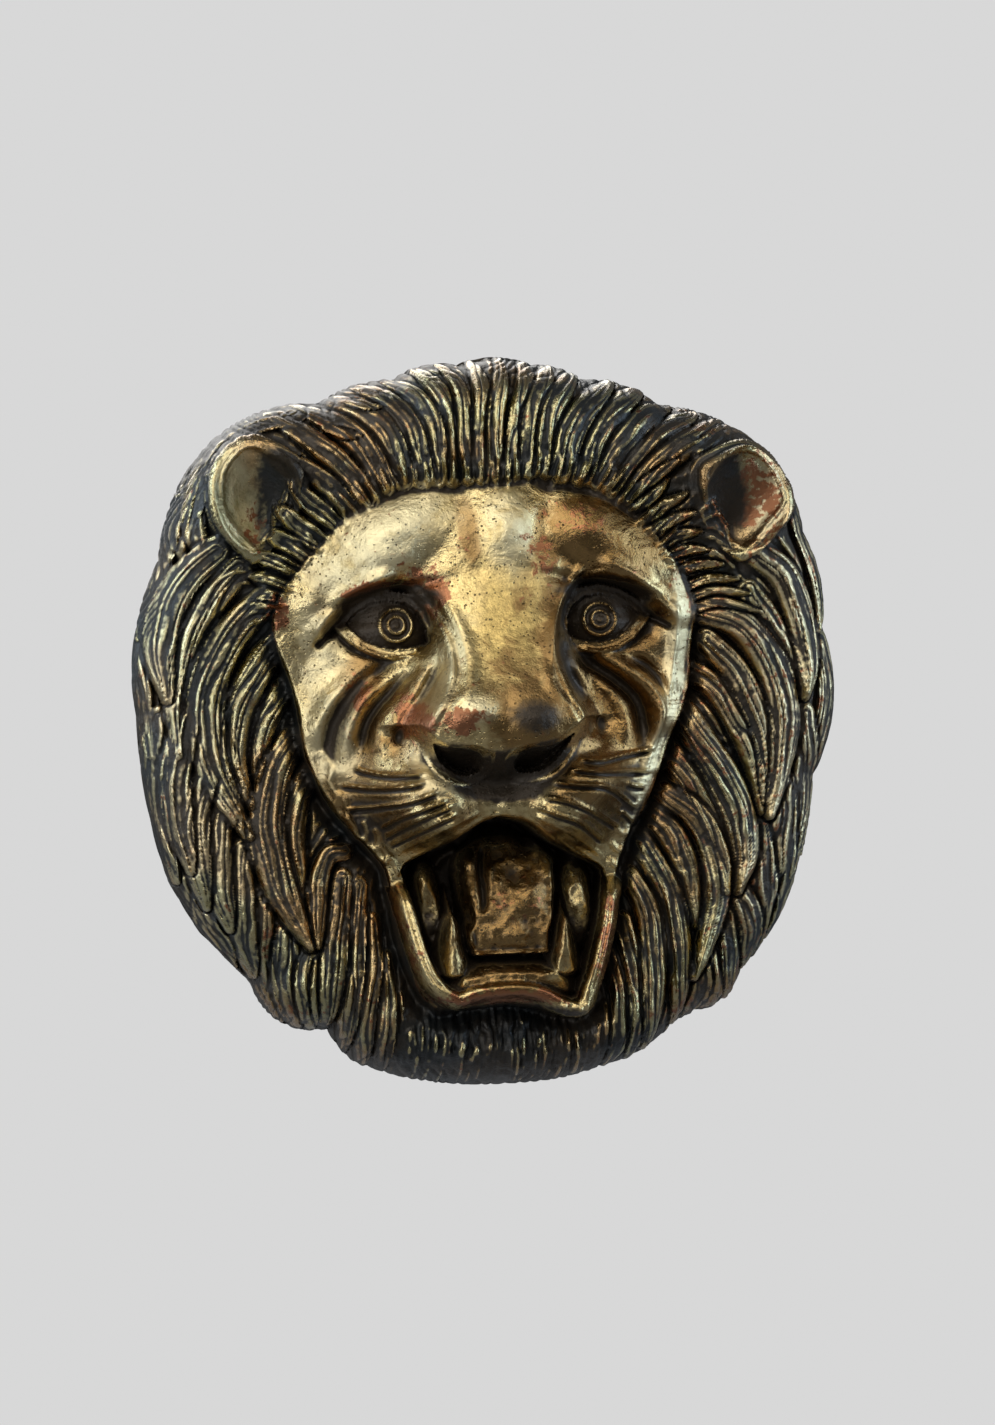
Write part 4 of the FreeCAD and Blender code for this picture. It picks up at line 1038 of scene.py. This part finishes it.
NUT_HEX = 6.5                                # height of the hexagon
NECK_RADIUS = 6.0
NECK_END = 7.2
DOME_RADIUS = 6.2
DOME_START = 8.8
NUT_TIP = 63.0
NUT_BORE = 3.4
NUT_BORE_END = 59.5
# Levels of the rings on the nut, above its seat
NUT_LEVELS = (0, 0.06, 0.3, 0.6, 0.9, 1.3, 2.2, 3.2, 4.2, 5.2, 5.6, 5.9, 6.2, 6.44, 6.5, 6.52, 7.18, 7.2,
              7.4, 8.0, 8.8)


def lug_profile(h, x, z):
    """Lug from its foot in the casting to its end, then back in along the tapped hole."""
    root = -float(read_field(shell_depth(h), np.array([x]), np.array([z]))[0])
    foot = [(radius, root + up) for radius, up in LUG_FOOT]
    end = [(LUG_RADIUS, LUG_END - 0.55), (LUG_RADIUS - 0.5, LUG_END)]
    hole = [(LUG_HOLE + 0.6, LUG_END), (LUG_HOLE, LUG_END - 0.55), (LUG_HOLE, LUG_HOLE_END)]
    return [(0, foot[0][1])] + foot + end + hole + [(0, LUG_HOLE_END)]


def stud_radius(y, turn):
    """Radius of the rod: rolled thread at both ends, plain shank through the door."""
    phase = (y / PITCH - turn / (2 * math.pi)) % 1.0
    wave = 1 - abs(2 * phase - 1)
    thread = THREAD_ROOT + (THREAD_TOP - THREAD_ROOT) * min(1.0, max(0.0, 1.35 * wave - 0.12))
    plain = min(1.0, max(0.0, min(y + 0.2, DOOR - 0.2 - y) / 1.2))
    radius = thread + (SHANK - thread) * plain
    tip = min(y - STUD_START, STUD_TIP - y)
    return min(radius, 3.0 + tip)


def build_stud(name, x, z, material):
    """Rod with close rings over the threads and wide ones over the shank."""
    step = PITCH / RINGS_PER_PITCH
    levels = [STUD_START + step * i for i in range(int((STUD_TIP - STUD_START) / step) + 1)]
    levels = [y for i, y in enumerate(levels) if not 1.5 < y < DOOR - 1.5 or i % 12 == 0]
    rings = [circle(x, z, y, lambda turn: stud_radius(y, turn), STUD_SEGMENTS) for y in levels]
    return ring_solid(name, (x, STUD_START, z), rings, (x, levels[-1], z), material)


def build_washer(name, x, z, material):
    edge = WASHER_EDGE
    back = WASHER_BACK
    rim = WASHER_RADIUS
    outer = [
        (rim - edge / 2, DOOR), (rim, DOOR + edge / 2), (rim, back - edge), (rim - edge / 3, back - edge / 3),
        (rim - edge, back), (rim - 2 * edge, back),
    ]
    bore = [
        (WASHER_BORE + 0.4, back), (WASHER_BORE + edge / 2, back - edge / 6), (WASHER_BORE, back - edge),
        (WASHER_BORE, DOOR + edge / 2),
    ]
    profile = [(WASHER_BORE + edge / 2, DOOR)] + outer + bore
    return lathe(name, profile, x, z, material, NUT_SEGMENTS)


def build_spring_washer(name, x, z, material):
    """Split ring of square wire, its cut ends a little apart."""
    steps = 72
    half = SPRING_HALF
    corner = SPRING_CORNER
    middle_level = (WASHER_BACK + SPRING_BACK) / 2
    gap = math.radians(SPRING_GAP)
    section = [(-half, -1 + corner), (-half + corner, -1), (half - corner, -1), (half, -1 + corner),
               (half, 1 - corner), (half - corner, 1), (-half + corner, 1), (-half, 1 - corner)]
    points = []
    for i in range(steps + 1):
        share = i / steps
        for out, up in section:
            slant = math.tan(math.radians(SPRING_SLANT)) * up / SPRING_MIDDLE * (1 - 2 * share)
            turn = math.pi / 2 + gap + (2 * math.pi - 2 * gap) * share + slant
            radius = SPRING_MIDDLE + out
            level = middle_level + up * 0.995
            points.append((x + radius * math.cos(turn), level, z + radius * math.sin(turn)))
    n = len(section)
    faces = [tuple(reversed(range(n))), tuple(range(steps * n, steps * n + n))]
    for i in range(steps):
        for k in range(n):
            j = (k + 1) % n
            faces.append((i * n + k, i * n + j, (i + 1) * n + j, (i + 1) * n + k))
    return new_mesh(name, points, faces, material, False)


def nut_radius(y, turn):
    """Hexagon with turned corners, a small neck and the domed cap."""
    hexagon = NUT_FLAT / math.cos((turn + math.pi / 6) % (math.pi / 3) - math.pi / 6)
    back = y - SPRING_BACK
    if back <= NUT_HEX:
        chamfer = 6.35 + 1.7 * min(back, NUT_HEX - back)
        return min(hexagon, chamfer)
    if back <= NECK_END:
        return NECK_RADIUS
    rise = back - (NUT_TIP - SPRING_BACK - DOME_RADIUS)
    return DOME_RADIUS if rise <= 0 else math.sqrt(max(0.0, DOME_RADIUS ** 2 - rise ** 2))


def build_dome_nut(name, x, z, material):
    """Cap nut: rings down its blind bore, then up the outside to the tip."""
    bore = ((NUT_BORE, NUT_BORE_END), (NUT_BORE, SPRING_BACK + 0.5), (4.1, SPRING_BACK))
    rings = [circle(x, z, y, lambda turn: radius, NUT_SEGMENTS) for radius, y in bore]
    levels = [SPRING_BACK + up for up in NUT_LEVELS]
    for i in range(1, 18):
        levels.append(SPRING_BACK + DOME_START + DOME_RADIUS * math.sin(math.radians(5 * i)))
    for y in levels:
        rings.append(circle(x, z, y, lambda turn: nut_radius(y, turn), NUT_SEGMENTS))
    return ring_solid(name, (x, NUT_BORE_END, z), rings, (x, NUT_TIP, z), material)


# ---------- materials ----------
# Layers painted on the casting, each with its value behind the mask
BEHIND = {"polish_and_shade": 0.30, "painted_highlight": 0.0, "copper": 0.15, "skin": 0.0, "brown_and_shade": 0.3, "ochre": 0.0}


def node(tree, kind, values=(), **settings):
    """A node with its settings, and its inputs set or linked by name."""
    made = tree.nodes.new(kind)
    for key, value in settings.items():
        setattr(made, key, value)
    for key, value in dict(values).items():
        if isinstance(value, bpy.types.NodeSocket):
            tree.links.new(value, made.inputs[key])
        else:
            made.inputs[key].default_value = value
    return made


def number(tree, operation, a, b, limit=False):
    made = node(tree, "ShaderNodeMath", {0: a, 1: b}, operation=operation, use_clamp=limit)
    return made.outputs[0]


def add(tree, a, b, limit=False):
    return number(tree, "ADD", a, b, limit)


def times(tree, a, b, limit=False):
    return number(tree, "MULTIPLY", a, b, limit)


def less(tree, a, b):
    return number(tree, "SUBTRACT", a, b)


def weighted(tree, a, share_a, b, share_b):
    return add(tree, times(tree, a, share_a), times(tree, b, share_b))


def waver(tree, texture, strength):
    """The texture made to swing evenly about zero."""
    return times(tree, less(tree, texture, 0.5), strength)


def blend(tree, share, a, b):
    """Colour a, going over to colour b by the share."""
    made = node(tree, "ShaderNodeMix", {0: share, 6: a, 7: b}, data_type="RGBA")
    return made.outputs[2]


def dimmed(tree, colour, share):
    """The colour dimmed by a share."""
    grey = (share, share, share, 1)
    made = node(tree, "ShaderNodeMix", {0: 1.0, 6: colour, 7: grey}, data_type="RGBA", blend_type="MULTIPLY")
    return made.outputs[2]


def span(tree, value, low, high, start=0.0, end=1.0):
    """Smooth step from start to end as the value goes from low to high."""
    inputs = {"Value": value, "From Min": low, "From Max": high, "To Min": start, "To Max": end}
    return node(tree, "ShaderNodeMapRange", inputs, interpolation_type="SMOOTHSTEP").outputs[0]


def cloud(tree, place, size, detail=3.0, rough=0.55, warp=0.0):
    """Noise with blobs of the given size in millimetres."""
    inputs = {"Vector": place, "Scale": 1000.0 / size, "Detail": detail, "Roughness": rough}
    inputs["Distortion"] = warp
    return node(tree, "ShaderNodeTexNoise", inputs).outputs[0]


def new_material(name):
    made = bpy.data.materials.new(name)
    made.use_nodes = True
    made.node_tree.nodes.clear()
    return made, made.node_tree


def metal_surface(tree, colour, rough, metallic, height, distance, strength):
    """Shader with the height as fine relief, wired to the output."""
    bump_map = node(tree, "ShaderNodeBump", {"Height": height, "Distance": distance, "Strength": strength})
    values = {"Base Color": colour, "Roughness": rough, "Metallic": metallic, "Normal": bump_map.outputs[0]}
    shader = node(tree, "ShaderNodeBsdfPrincipled", values)
    node(tree, "ShaderNodeOutputMaterial", {0: shader.outputs[0]})


def object_place(tree):
    return node(tree, "ShaderNodeTexCoord").outputs["Object"]


def brass_tones_and_painted_light(tree, layers, broad, patch, fine, grain):
    """Yellow brass with brownish tarnished patches that are partly painted shade, lighter metal as painted
    highlights, and rose where the zinc has gone.
    """
    mottled = weighted(tree, broad, 0.55, patch, 0.45)
    # Brownish patches from the noise and from the patch layer, which is partly painted shade
    tarnish_and_shade = span(tree, add(tree, mottled, times(tree, layers["brown_and_shade"], 0.30)), 0.47, 0.66)
    tarnish_and_shade = times(tree, tarnish_and_shade, less(tree, 1.0, layers["painted_highlight"]), True)
    metal = blend(tree, layers["ochre"], (0.60, 0.48, 0.24, 1), (0.76, 0.56, 0.21, 1))
    metal = blend(tree, tarnish_and_shade, metal, (0.27, 0.165, 0.065, 1))
    hair_tint = blend(tree, span(tree, broad, 0.40, 0.60), (0.52, 0.52, 0.30, 1), (0.56, 0.34, 0.16, 1))
    metal = blend(tree, times(tree, less(tree, 1.0, layers["skin"]), 0.65), metal, hair_tint)
    metal = blend(tree, layers["skin"], dimmed(tree, metal, 0.85), metal)
    worn = span(tree, weighted(tree, fine, 0.6, grain, 0.4), 0.40, 0.56)
    metal = blend(tree, times(tree, less(tree, 1.0, worn), 0.45), metal, (0.26, 0.165, 0.06, 1))
    # Lighter metal where the highlight layer lies: painted highlight
    highlight_share = times(tree, layers["painted_highlight"], span(tree, mottled, 0.36, 0.52), True)
    metal = blend(tree, highlight_share, metal, (0.84, 0.75, 0.48, 1))
    ragged = add(tree, waver(tree, patch, 2.2), waver(tree, fine, 1.8))
    rose = span(tree, add(tree, layers["copper"], ragged), 0.42, 0.74)
    return blend(tree, rose, metal, blend(tree, broad, (0.24, 0.100, 0.060, 1), (0.38, 0.17, 0.075, 1)))


def patina_and_painted_shade(tree, skin, broad):
    """The near-black coat that stays in the recesses, also laid on as painted shade where the shade patches
    fall.
    """
    patina = blend(tree, span(tree, broad, 0.38, 0.6), (0.015, 0.017, 0.017, 1), (0.034, 0.025, 0.016, 1))
    return blend(tree, times(tree, skin, 0.8), patina, (0.036, 0.024, 0.013, 1))


def pinholes(tree, place, skin):
    """Casting pinholes, sparse and only on the skin of the face."""
    cells = {"Vector": place, "Scale": 780.0, "Randomness": 1.0}
    pits = node(tree, "ShaderNodeTexVoronoi", cells).outputs["Distance"]
    hole = span(tree, pits, 0.14, 0.27, 1.0, 0.0)
    sparse = span(tree, cloud(tree, place, 4, 2), 0.44, 0.56)
    return times(tree, times(tree, hole, sparse), skin, True)


def cast_brass():
    """Old cast brass. The layers painted on the mesh say where it is polished, coppery or dark, and where
    painted shade and painted highlights lie.
    """
    made, tree = new_material("aged_brass_with_painted_light")
    place = object_place(tree)
    layers = {}
    for name in BEHIND:
        layers[name] = node(tree, "ShaderNodeAttribute", attribute_name=name).outputs["Fac"]
    skin = layers["skin"]
    broad = cloud(tree, place, 22, 4, 0.6, 0.4)
    patch = cloud(tree, place, 7, 5, 0.62, 0.8)
    fine = cloud(tree, place, 1.6, 4, 0.6)
    grain = cloud(tree, place, 0.5, 3, 0.6)
    metal = brass_tones_and_painted_light(tree, layers, broad, patch, fine, grain)
    # Share of polished metal against patina, lowered further where the layer carries painted shade
    bare_less_shade = span(tree, add(tree, layers["polish_and_shade"], waver(tree, fine, 0.5)), 0.22, 0.70)
    colour = blend(tree, bare_less_shade, patina_and_painted_shade(tree, skin, broad), metal)
    hole = pinholes(tree, place, skin)
    colour = blend(tree, times(tree, hole, 0.75), colour, (0.05, 0.035, 0.018, 1))
    rough = span(tree, bare_less_shade, 0.0, 1.0, 0.42, 0.21)
    rough = add(tree, rough, times(tree, number(tree, "MAXIMUM", layers["painted_highlight"], layers["ochre"]), 0.30))
    rough = add(tree, rough, waver(tree, patch, 0.22))
    rough = add(tree, rough, waver(tree, fine, 0.12), True)
    height = add(tree, weighted(tree, patch, 0.9, fine, 0.50), times(tree, grain, 0.22))
    height = less(tree, height, times(tree, hole, 0.5))
    metal_surface(tree, colour, rough, span(tree, bare_less_shade, 0.0, 1.0, 0.45, 1.0), height, 0.0005, 0.9)
    return made


def zinc_steel():
    made, tree = new_material("zinc_plated_steel")
    place = object_place(tree)
    spangle = cloud(tree, place, 2.5, 3)
    fine = cloud(tree, place, 0.35, 2)
    edge = node(tree, "ShaderNodeNewGeometry").outputs["Pointiness"]
    worn = span(tree, edge, 0.50, 0.56)
    colour = blend(tree, spangle, (0.44, 0.45, 0.44, 1), (0.66, 0.65, 0.60, 1))
    colour = blend(tree, worn, colour, (0.74, 0.74, 0.72, 1))
    # Darker in the hollows, going by the mesh's pointiness
    hollow_dark = span(tree, edge, 0.40, 0.49, 1.0, 0.0)
    colour = blend(tree, times(tree, hollow_dark, 0.7), colour, (0.10, 0.095, 0.085, 1))
    rough = add(tree, times(tree, spangle, 0.22), 0.20)
    metal_surface(tree, colour, rough, 1.0, fine, 0.00003, 0.6)
    return made


def turned_brass():
    made, tree = new_material("turned_brass")
    place = object_place(tree)
    stretch = node(tree, "ShaderNodeMapping", {"Vector": place, "Scale": (0.25, 12.0, 0.25)}).outputs[0]
    rings = cloud(tree, stretch, 2.0, 3, 0.7)
    stain = cloud(tree, place, 5, 4, 0.6, 0.5)
    edge = node(tree, "ShaderNodeNewGeometry").outputs["Pointiness"]
    # Darker in the hollows, going by the mesh's pointiness
    hollow_dark = span(tree, edge, 0.42, 0.49, 1.0, 0.0)
    colour = blend(tree, span(tree, stain, 0.42, 0.66), (0.72, 0.53, 0.24, 1), (0.42, 0.27, 0.11, 1))
    colour = blend(tree, times(tree, hollow_dark, 0.7), colour, (0.09, 0.06, 0.03, 1))
    rough = add(tree, times(tree, rings, 0.25), 0.14)
    metal_surface(tree, colour, rough, 1.0, rings, 0.00003, 0.5)
    return made


# ---------- put together ----------
def place_piece(piece, cad_node):
    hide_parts(cad_node)
    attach(piece, "root")


def local_relief(h, size):
    return h - blur(h, size)


# Soft oval patches on the metal: centre, half sizes, turn in degrees, strength
WHISKER_PADS = [(-29, -21, 15, 11, -20, 1), (28, -21, 17, 12, 15, 1)]
# Painted shade inside the ear cups
EAR_CUP_SHADE = [(-54, 68, 7, 8, 0, 1), (65, 61, 7, 10, 0, 1)]
OCHRE = [(3, 26, 13, 22, 0, 1)]
# Painted shade: over the eyes under the brows, beside the bridge and down the left cheek, under the nose and
# the upper lip, under the lower lip, beside the mouth and over the top of the mane
SHADE_PATCHES = [
    (-40.5, 2, 3.4, 15, -18, 0.9), (20, 14, 3, 16, 6, 0.9), (45, 74, 32, 15, -35, 0.4),
    (-43, 74, 28, 14, 35, 0.4), (-28, 28, 15, 9, 8, 0.85), (31, 28.5, 15, 9, -8, 0.85),
    (1, -79, 24, 6, 0, 1), (-12, -10, 8.5, 5, -20, 1), (10, -10, 8.5, 5, 20, 1), (-1, -12.5, 13, 6, 0, 1),
    (-38, -30, 6, 10, -35, 0.7), (39, -28, 4, 10, 30, 0.5), (0, -27, 26, 2.5, 0, 0.5),
]
# Deeper painted shade under the nose, under the lower lip and along the upper lids below the brows; the first
# patch darkens the nose tip
DEEP_SHADE_PATCHES = [
    (8, 1.5, 8, 5.5, 0, 0.75), (-9, -1.5, 6, 2.5, 0, 0.3), (-0.5, -14, 14, 6.5, 0, 1),
    (-11, -9.5, 7, 4, -15, 1), (10.5, -9, 8, 4, 20, 1), (0.5, -17, 11, 4, 0, 1), (1, -80, 22, 5, 0, 1),
    (-27, 33.5, 13, 2.6, 4, 1), (31, 34.2, 13, 2.6, -4, 1),
]
# Painted highlights: lighter metal where the lamps' reflections fall on the left brow lobe, the boss, both
# cheeks, the bridge, the nose, the muzzle pads and the ears
HIGHLIGHT_PATCHES = [
    (-29, 49, 21, 9.5, 32, 1), (4.5, 51, 6, 11, 0, 0.9), (51, 18, 4, 26, -6, 0.8),
    (41, -17, 4, 16, -17, 0.9), (-46, 20, 7, 14, 0, 0.6), (-68, 64, 5, 14, 0, 0.7),
    (-64, 55, 5, 9, 0, 0.9), (-8, 4, 5, 3.5, 0, 0.8), (77, 56, 5, 12, 0, 0.7), (-19, -12, 6, 7, 20, 0.5),
    (-43, 0, 7, 16, 0, 0.6), (-14, 14, 4, 20, -25, 0.4),
]
COPPER = [
    (-17, 35, 9, 6, -50, 1), (-33, 36, 9, 2.6, 10, 1), (-56, 30, 3.5, 7, 0, 1), (-11, 1, 6, 4, 0, 1),
    (-23, 2, 5, 7, 20, 1), (-36, 8, 4, 6, 0, 0.7), (22, 54, 12, 6, -30, 0.5), (13, 45, 4, 12, 0, 0.55),
    (0, -72, 22, 2.6, 0, 1), (-24, -55, 2.5, 16, 10, 0.6), (28, -57, 2.5, 16, -8, 0.7),
    (3, -46, 9, 9, 0, 0.4), (-61, 52, 5, 6, 0, 0.6), (72, 58, 10, 12, 0, 0.75),
]
# Brownish tarnished patches, mostly on the right side turned from the main light and on the tongue in the
# mouth: partly the metal's own tone, partly painted shade
BROWN_AND_SHADE = [
    (30, 47, 16, 11, -30, 1), (35, 5, 14, 28, -8, 1.4), (8, 1, 9, 7, 0, 1.6), (-41, -16, 8, 20, -12, 1),
    (-38, 5, 5, 14, -20, 1), (-21, 2, 6, 12, -20, 0.6), (28, -16, 16, 14, 0, 0.5),
    (-6, 52, 3, 10, 10, 0.9), (16, 22, 4, 22, -10, 0.8), (-32, -22, 12, 10, 0, 0.5),
    (2, -52, 14, 16, 0, 1.5),
]


def patches(rows):
    """The strongest of the patches at every raster point."""
    field = np.zeros(X.shape)
    for cx, cz, rx, rz, turn, strength in rows:
        field = np.maximum(field, strength * np.exp(-oval(cx, cz, rx, rz, turn) ** 1.5))
    return field


def finish_layers(h, masks):
    """Where the metal is polished, coppery or dark, and where painted shade and painted highlights lie, on
    the raster.
    """
    fine = local_relief(h, 0.7)
    middle = local_relief(h, 2.2)
    wide = local_relief(h, 6.0)
    steep = np.hypot(*np.gradient(blur(h, 2.0), STEP))
    fine = fine / (1 + 0.45 * steep)
    middle = middle / (1 + 2.2 * steep)
    wide = wide / (1 + 4.0 * steep)
    face = masks["face"]
    hair = 1 - np.maximum(face, masks["ear"])
    hair_polish = 0.05 + 1.9 * fine + 0.30 * middle + 0.07 * wide
    face_polish = 0.94 + 0.9 * np.minimum(fine, 0) + 0.42 * np.minimum(middle, 0) + 0.10 * np.minimum(wide, 0)
    polish_and_shade = hair * hair_polish + (1 - hair) * face_polish
    # Eye openings: dark patina and painted shade, with the iris rings kept bright
    polish_and_shade = polish_and_shade * (1 - masks["eye"]) + (0.20 + 2.6 * fine) * masks["eye"]
    mouth = masks["mouth"]
    whiskers = patches(WHISKER_PADS) * face * (mouth < 0)
    polish_and_shade = polish_and_shade * (1 - whiskers) + (0.56 + 1.5 * fine + 0.2 * middle) * whiskers
    # Darker inside the mouth
    polish_and_shade = np.where(mouth > 0, polish_and_shade - 0.35 * ramp(mouth / 3.0), polish_and_shade)
    # Painted shade from the shade patches, and painted shade on the hair towards the bottom edge
    polish_and_shade = polish_and_shade - 0.6 * patches(SHADE_PATCHES) - 1.0 * patches(DEEP_SHADE_PATCHES) - 0.45 * hair * ramp((-Z - 78) / 12.0)
    # Painted shade inside the ear cups; the nostril rims are polished
    polish_and_shade = polish_and_shade - 0.6 * patches(EAR_CUP_SHADE) * masks["ear"] + 1.2 * masks["nostril"]
    # Lighter metal on the outer sides of the mane: painted highlight
    side_highlight = hair * (0.55 * ramp((X - 52) / 26.0) + 0.35 * ramp((-X - 52) / 26.0))
    side_highlight = side_highlight * ramp((Z + 75) / 30.0) * ramp((62 - Z) / 20.0)
    painted_highlight = clamp(patches(HIGHLIGHT_PATCHES)) * np.maximum(face, masks["ear"]) + side_highlight
    rose_hair = hair * (0.16 + 0.16 * ramp((X - 30) / 30.0) + 0.12 * ramp((-Z - 50) / 30.0))
    return {
        "polish_and_shade": clamp(polish_and_shade), "painted_highlight": painted_highlight, "copper": clamp(patches(COPPER) + rose_hair), "skin": face,
        "brown_and_shade": clamp(patches(BROWN_AND_SHADE)), "ochre": patches(OCHRE) * face,
    }


def union(piece, others):
    """Weld the other solids into the piece, so that it stays one closed mesh."""
    for other in others:
        change = piece.modifiers.new("join", "BOOLEAN")
        change.operation = "UNION"
        change.solver = "MANIFOLD"
        change.object = other
    bpy.context.view_layer.update()
    final = bpy.data.meshes.new_from_object(piece.evaluated_get(bpy.context.evaluated_depsgraph_get()))
    piece.modifiers.clear()
    piece.data = final
    for other in others:
        bpy.data.objects.remove(other)


def paint_layers(mesh, h, masks):
    """Write the layers on the points of the mesh, fading to plain metal behind the mask."""
    place = np.zeros(len(mesh.vertices) * 3, np.float32)
    mesh.vertices.foreach_get("co", place)
    x, y, z = (place.reshape(-1, 3) * 1000.0).T
    front = ramp((2.0 - (y + read_field(h, x, z))) / 2.0) * (y < -2.0)
    flank = ramp(-y) * ramp((y + 28) / 8) * (np.hypot(x, z) > 88)
    crest = flank_hair(x, z, -y) * np.maximum(flank_share(h, x, z), flank)
    for name, field in finish_layers(h, masks).items():
        values = front * read_field(field, x, z) + (1 - front) * BEHIND[name]
        if name == "polish_and_shade":
            values = np.clip(values + 0.38 * crest, 0, 1)
        attribute = mesh.attributes.new(name, "FLOAT", "POINT")
        attribute.data.foreach_set("value", np.asarray(values, np.float32))


def build_head_piece(brass):
    h, masks = build_head()
    head = build_casting(h, brass)
    lugs = [lathe("lug_" + name, lug_profile(h, x, z), x, z, brass, 64) for name, (x, z) in SPOTS.items()]
    union(head, lugs)
    head.data.polygons.foreach_set("use_smooth", [True] * len(head.data.polygons))
    head.data.set_sharp_from_angle(angle=math.radians(62))
    paint_layers(head.data, h, masks)
    place_piece(head, "lion_head")


def build_fixings(steel, turned):
    """Stud, washers and nut at each of the four spots."""
    kinds = [
        ("threaded_stud_", build_stud, steel, "stud_", "zinc_steel"),
        ("flat_washer_", build_washer, turned, "washer_", "turned_brass"),
        ("split_washer_", build_spring_washer, steel, "spring_washer_", "zinc_steel"),
        ("cap_nut_", build_dome_nut, turned, "dome_nut_", "turned_brass"),
    ]
    for spot, (x, z) in SPOTS.items():
        for prefix, build, material, node_prefix, slot in kinds:
            piece = build(prefix + spot, x, z, material)
            place_piece(piece, node_prefix + spot)
            if build is not build_spring_washer:
                piece.data.set_sharp_from_angle(angle=math.radians(35))


# ---------- light, floor and camera (metres) ----------
PAPER = (0.686, 0.686, 0.686, 1)             # even tone of the paper seen behind and under the mask
ROOM = (0.116, 0.122, 0.130, 1)
FLOOR_LEVEL = -0.32
FLOOR_REACH = 6.0
# Soft boxes aimed at the mask: name, place, width, height, power, colour
LIGHTS = [
    ("window", (-0.55, -0.95, 1.15), 1.6, 1.5, 17.5, (1.0, 0.97, 0.90)),
    ("fill", (-1.25, -0.85, -0.02), 1.3, 0.5, 6.5, (0.94, 0.97, 1.0)),
    ("lamp", (0.85, -0.95, 0.85), 0.7, 0.7, 2.4, (1.0, 0.93, 0.82)),
    ("side_window", (1.3, -0.15, 0.15), 0.7, 1.3, 12, (0.62, 0.79, 1.0)),
    ("left_sky", (-1.25, 0.35, 0.55), 0.5, 1.2, 12, (0.75, 0.87, 1.0)),
    ("back", (-0.2, 1.5, 0.6), 1.0, 1.0, 10, (1.0, 0.98, 0.95)),
]
LENS = 82.5
SENSOR = 36.0
CAMERA_AIM = (0.0046, -0.008, 0.0029)
CAMERA_DISTANCE = 0.9
CAMERA_TURN = -6.0
CAMERA_ROLL = -1.7


def add_light(name, place, width, height, power, colour):
    lamp = bpy.data.lights.new(name, "AREA")
    lamp.shape = "RECTANGLE"
    lamp.size = width
    lamp.size_y = height
    lamp.energy = power
    lamp.color = colour
    lamp.use_shadow = True
    holder = bpy.data.objects.new(name, lamp)
    holder.location = place
    holder.rotation_mode = "QUATERNION"
    holder.rotation_quaternion = (-Vector(place)).to_track_quat("-Z", "Y")
    holder.visible_camera = False
    bpy.context.scene.collection.objects.link(holder)


def floor_material():
    """Pale floor that runs out into the even paper tone away from the mask."""
    paper, tree = new_material("pale_floor")
    level = (1.0, 1.0, 0.0)
    place = object_place(tree)
    flat = node(tree, "ShaderNodeVectorMath", {0: place, 1: level}, operation="MULTIPLY").outputs[0]
    away = node(tree, "ShaderNodeVectorMath", {0: flat}, operation="LENGTH").outputs[1]
    seen = node(tree, "ShaderNodeLightPath").outputs["Is Camera Ray"]
    tone = blend(tree, seen, (0.24, 0.24, 0.245, 1), (0.74, 0.74, 0.74, 1))
    lit = node(tree, "ShaderNodeBsdfDiffuse", {"Color": tone}).outputs[0]
    even = node(tree, "ShaderNodeEmission", {"Color": PAPER, "Strength": 1.0}).outputs[0]
    share = times(tree, span(tree, away, 0.15, 0.5), seen)
    mixed = node(tree, "ShaderNodeMixShader", {0: share, 1: lit, 2: even}).outputs[0]
    node(tree, "ShaderNodeOutputMaterial", {0: mixed})
    return paper


def build_floor():
    mesh = bpy.data.meshes.new("floor")
    signs = [(-1, -1), (1, -1), (1, 1), (-1, 1)]
    corners = [(FLOOR_REACH * x, FLOOR_REACH * y, FLOOR_LEVEL) for x, y in signs]
    mesh.from_pydata(corners, [], [(0, 1, 2, 3)])
    mesh.materials.append(floor_material())
    floor = bpy.data.objects.new("floor", mesh)
    bpy.context.scene.collection.objects.link(floor)


def build_room():
    """Dim grey room for the reflections, paper tone for the camera."""
    world = bpy.data.worlds.new("studio")
    bpy.context.scene.world = world
    world.use_nodes = True
    tree = world.node_tree
    tree.nodes.clear()
    seen = node(tree, "ShaderNodeLightPath").outputs["Is Camera Ray"]
    paper = node(tree, "ShaderNodeBackground", {"Color": PAPER, "Strength": 1.0}).outputs[0]
    room = node(tree, "ShaderNodeBackground", {"Color": ROOM, "Strength": 1.0}).outputs[0]
    mixed = node(tree, "ShaderNodeMixShader", {0: seen, 1: room, 2: paper}).outputs[0]
    node(tree, "ShaderNodeOutputWorld", {0: mixed})


def build_camera():
    data = bpy.data.cameras.new("camera")
    data.lens = LENS
    data.sensor_width = SENSOR
    data.clip_start = 0.01
    camera = bpy.data.objects.new("camera", data)
    turn = math.radians(CAMERA_TURN)
    back = Vector((math.sin(turn), -math.cos(turn), 0.0))
    camera.location = Vector(CAMERA_AIM) + back * CAMERA_DISTANCE
    camera.rotation_mode = "QUATERNION"
    roll = Quaternion((0, 0, 1), math.radians(CAMERA_ROLL))
    camera.rotation_quaternion = (-back).to_track_quat("-Z", "Y") @ roll
    bpy.context.scene.collection.objects.link(camera)
    bpy.context.scene.camera = camera


build_head_piece(cast_brass())
build_fixings(zinc_steel(), turned_brass())
build_floor()
build_room()
for light in LIGHTS:
    add_light(*light)
build_camera()
bpy.context.scene.view_settings.view_transform = "Standard"
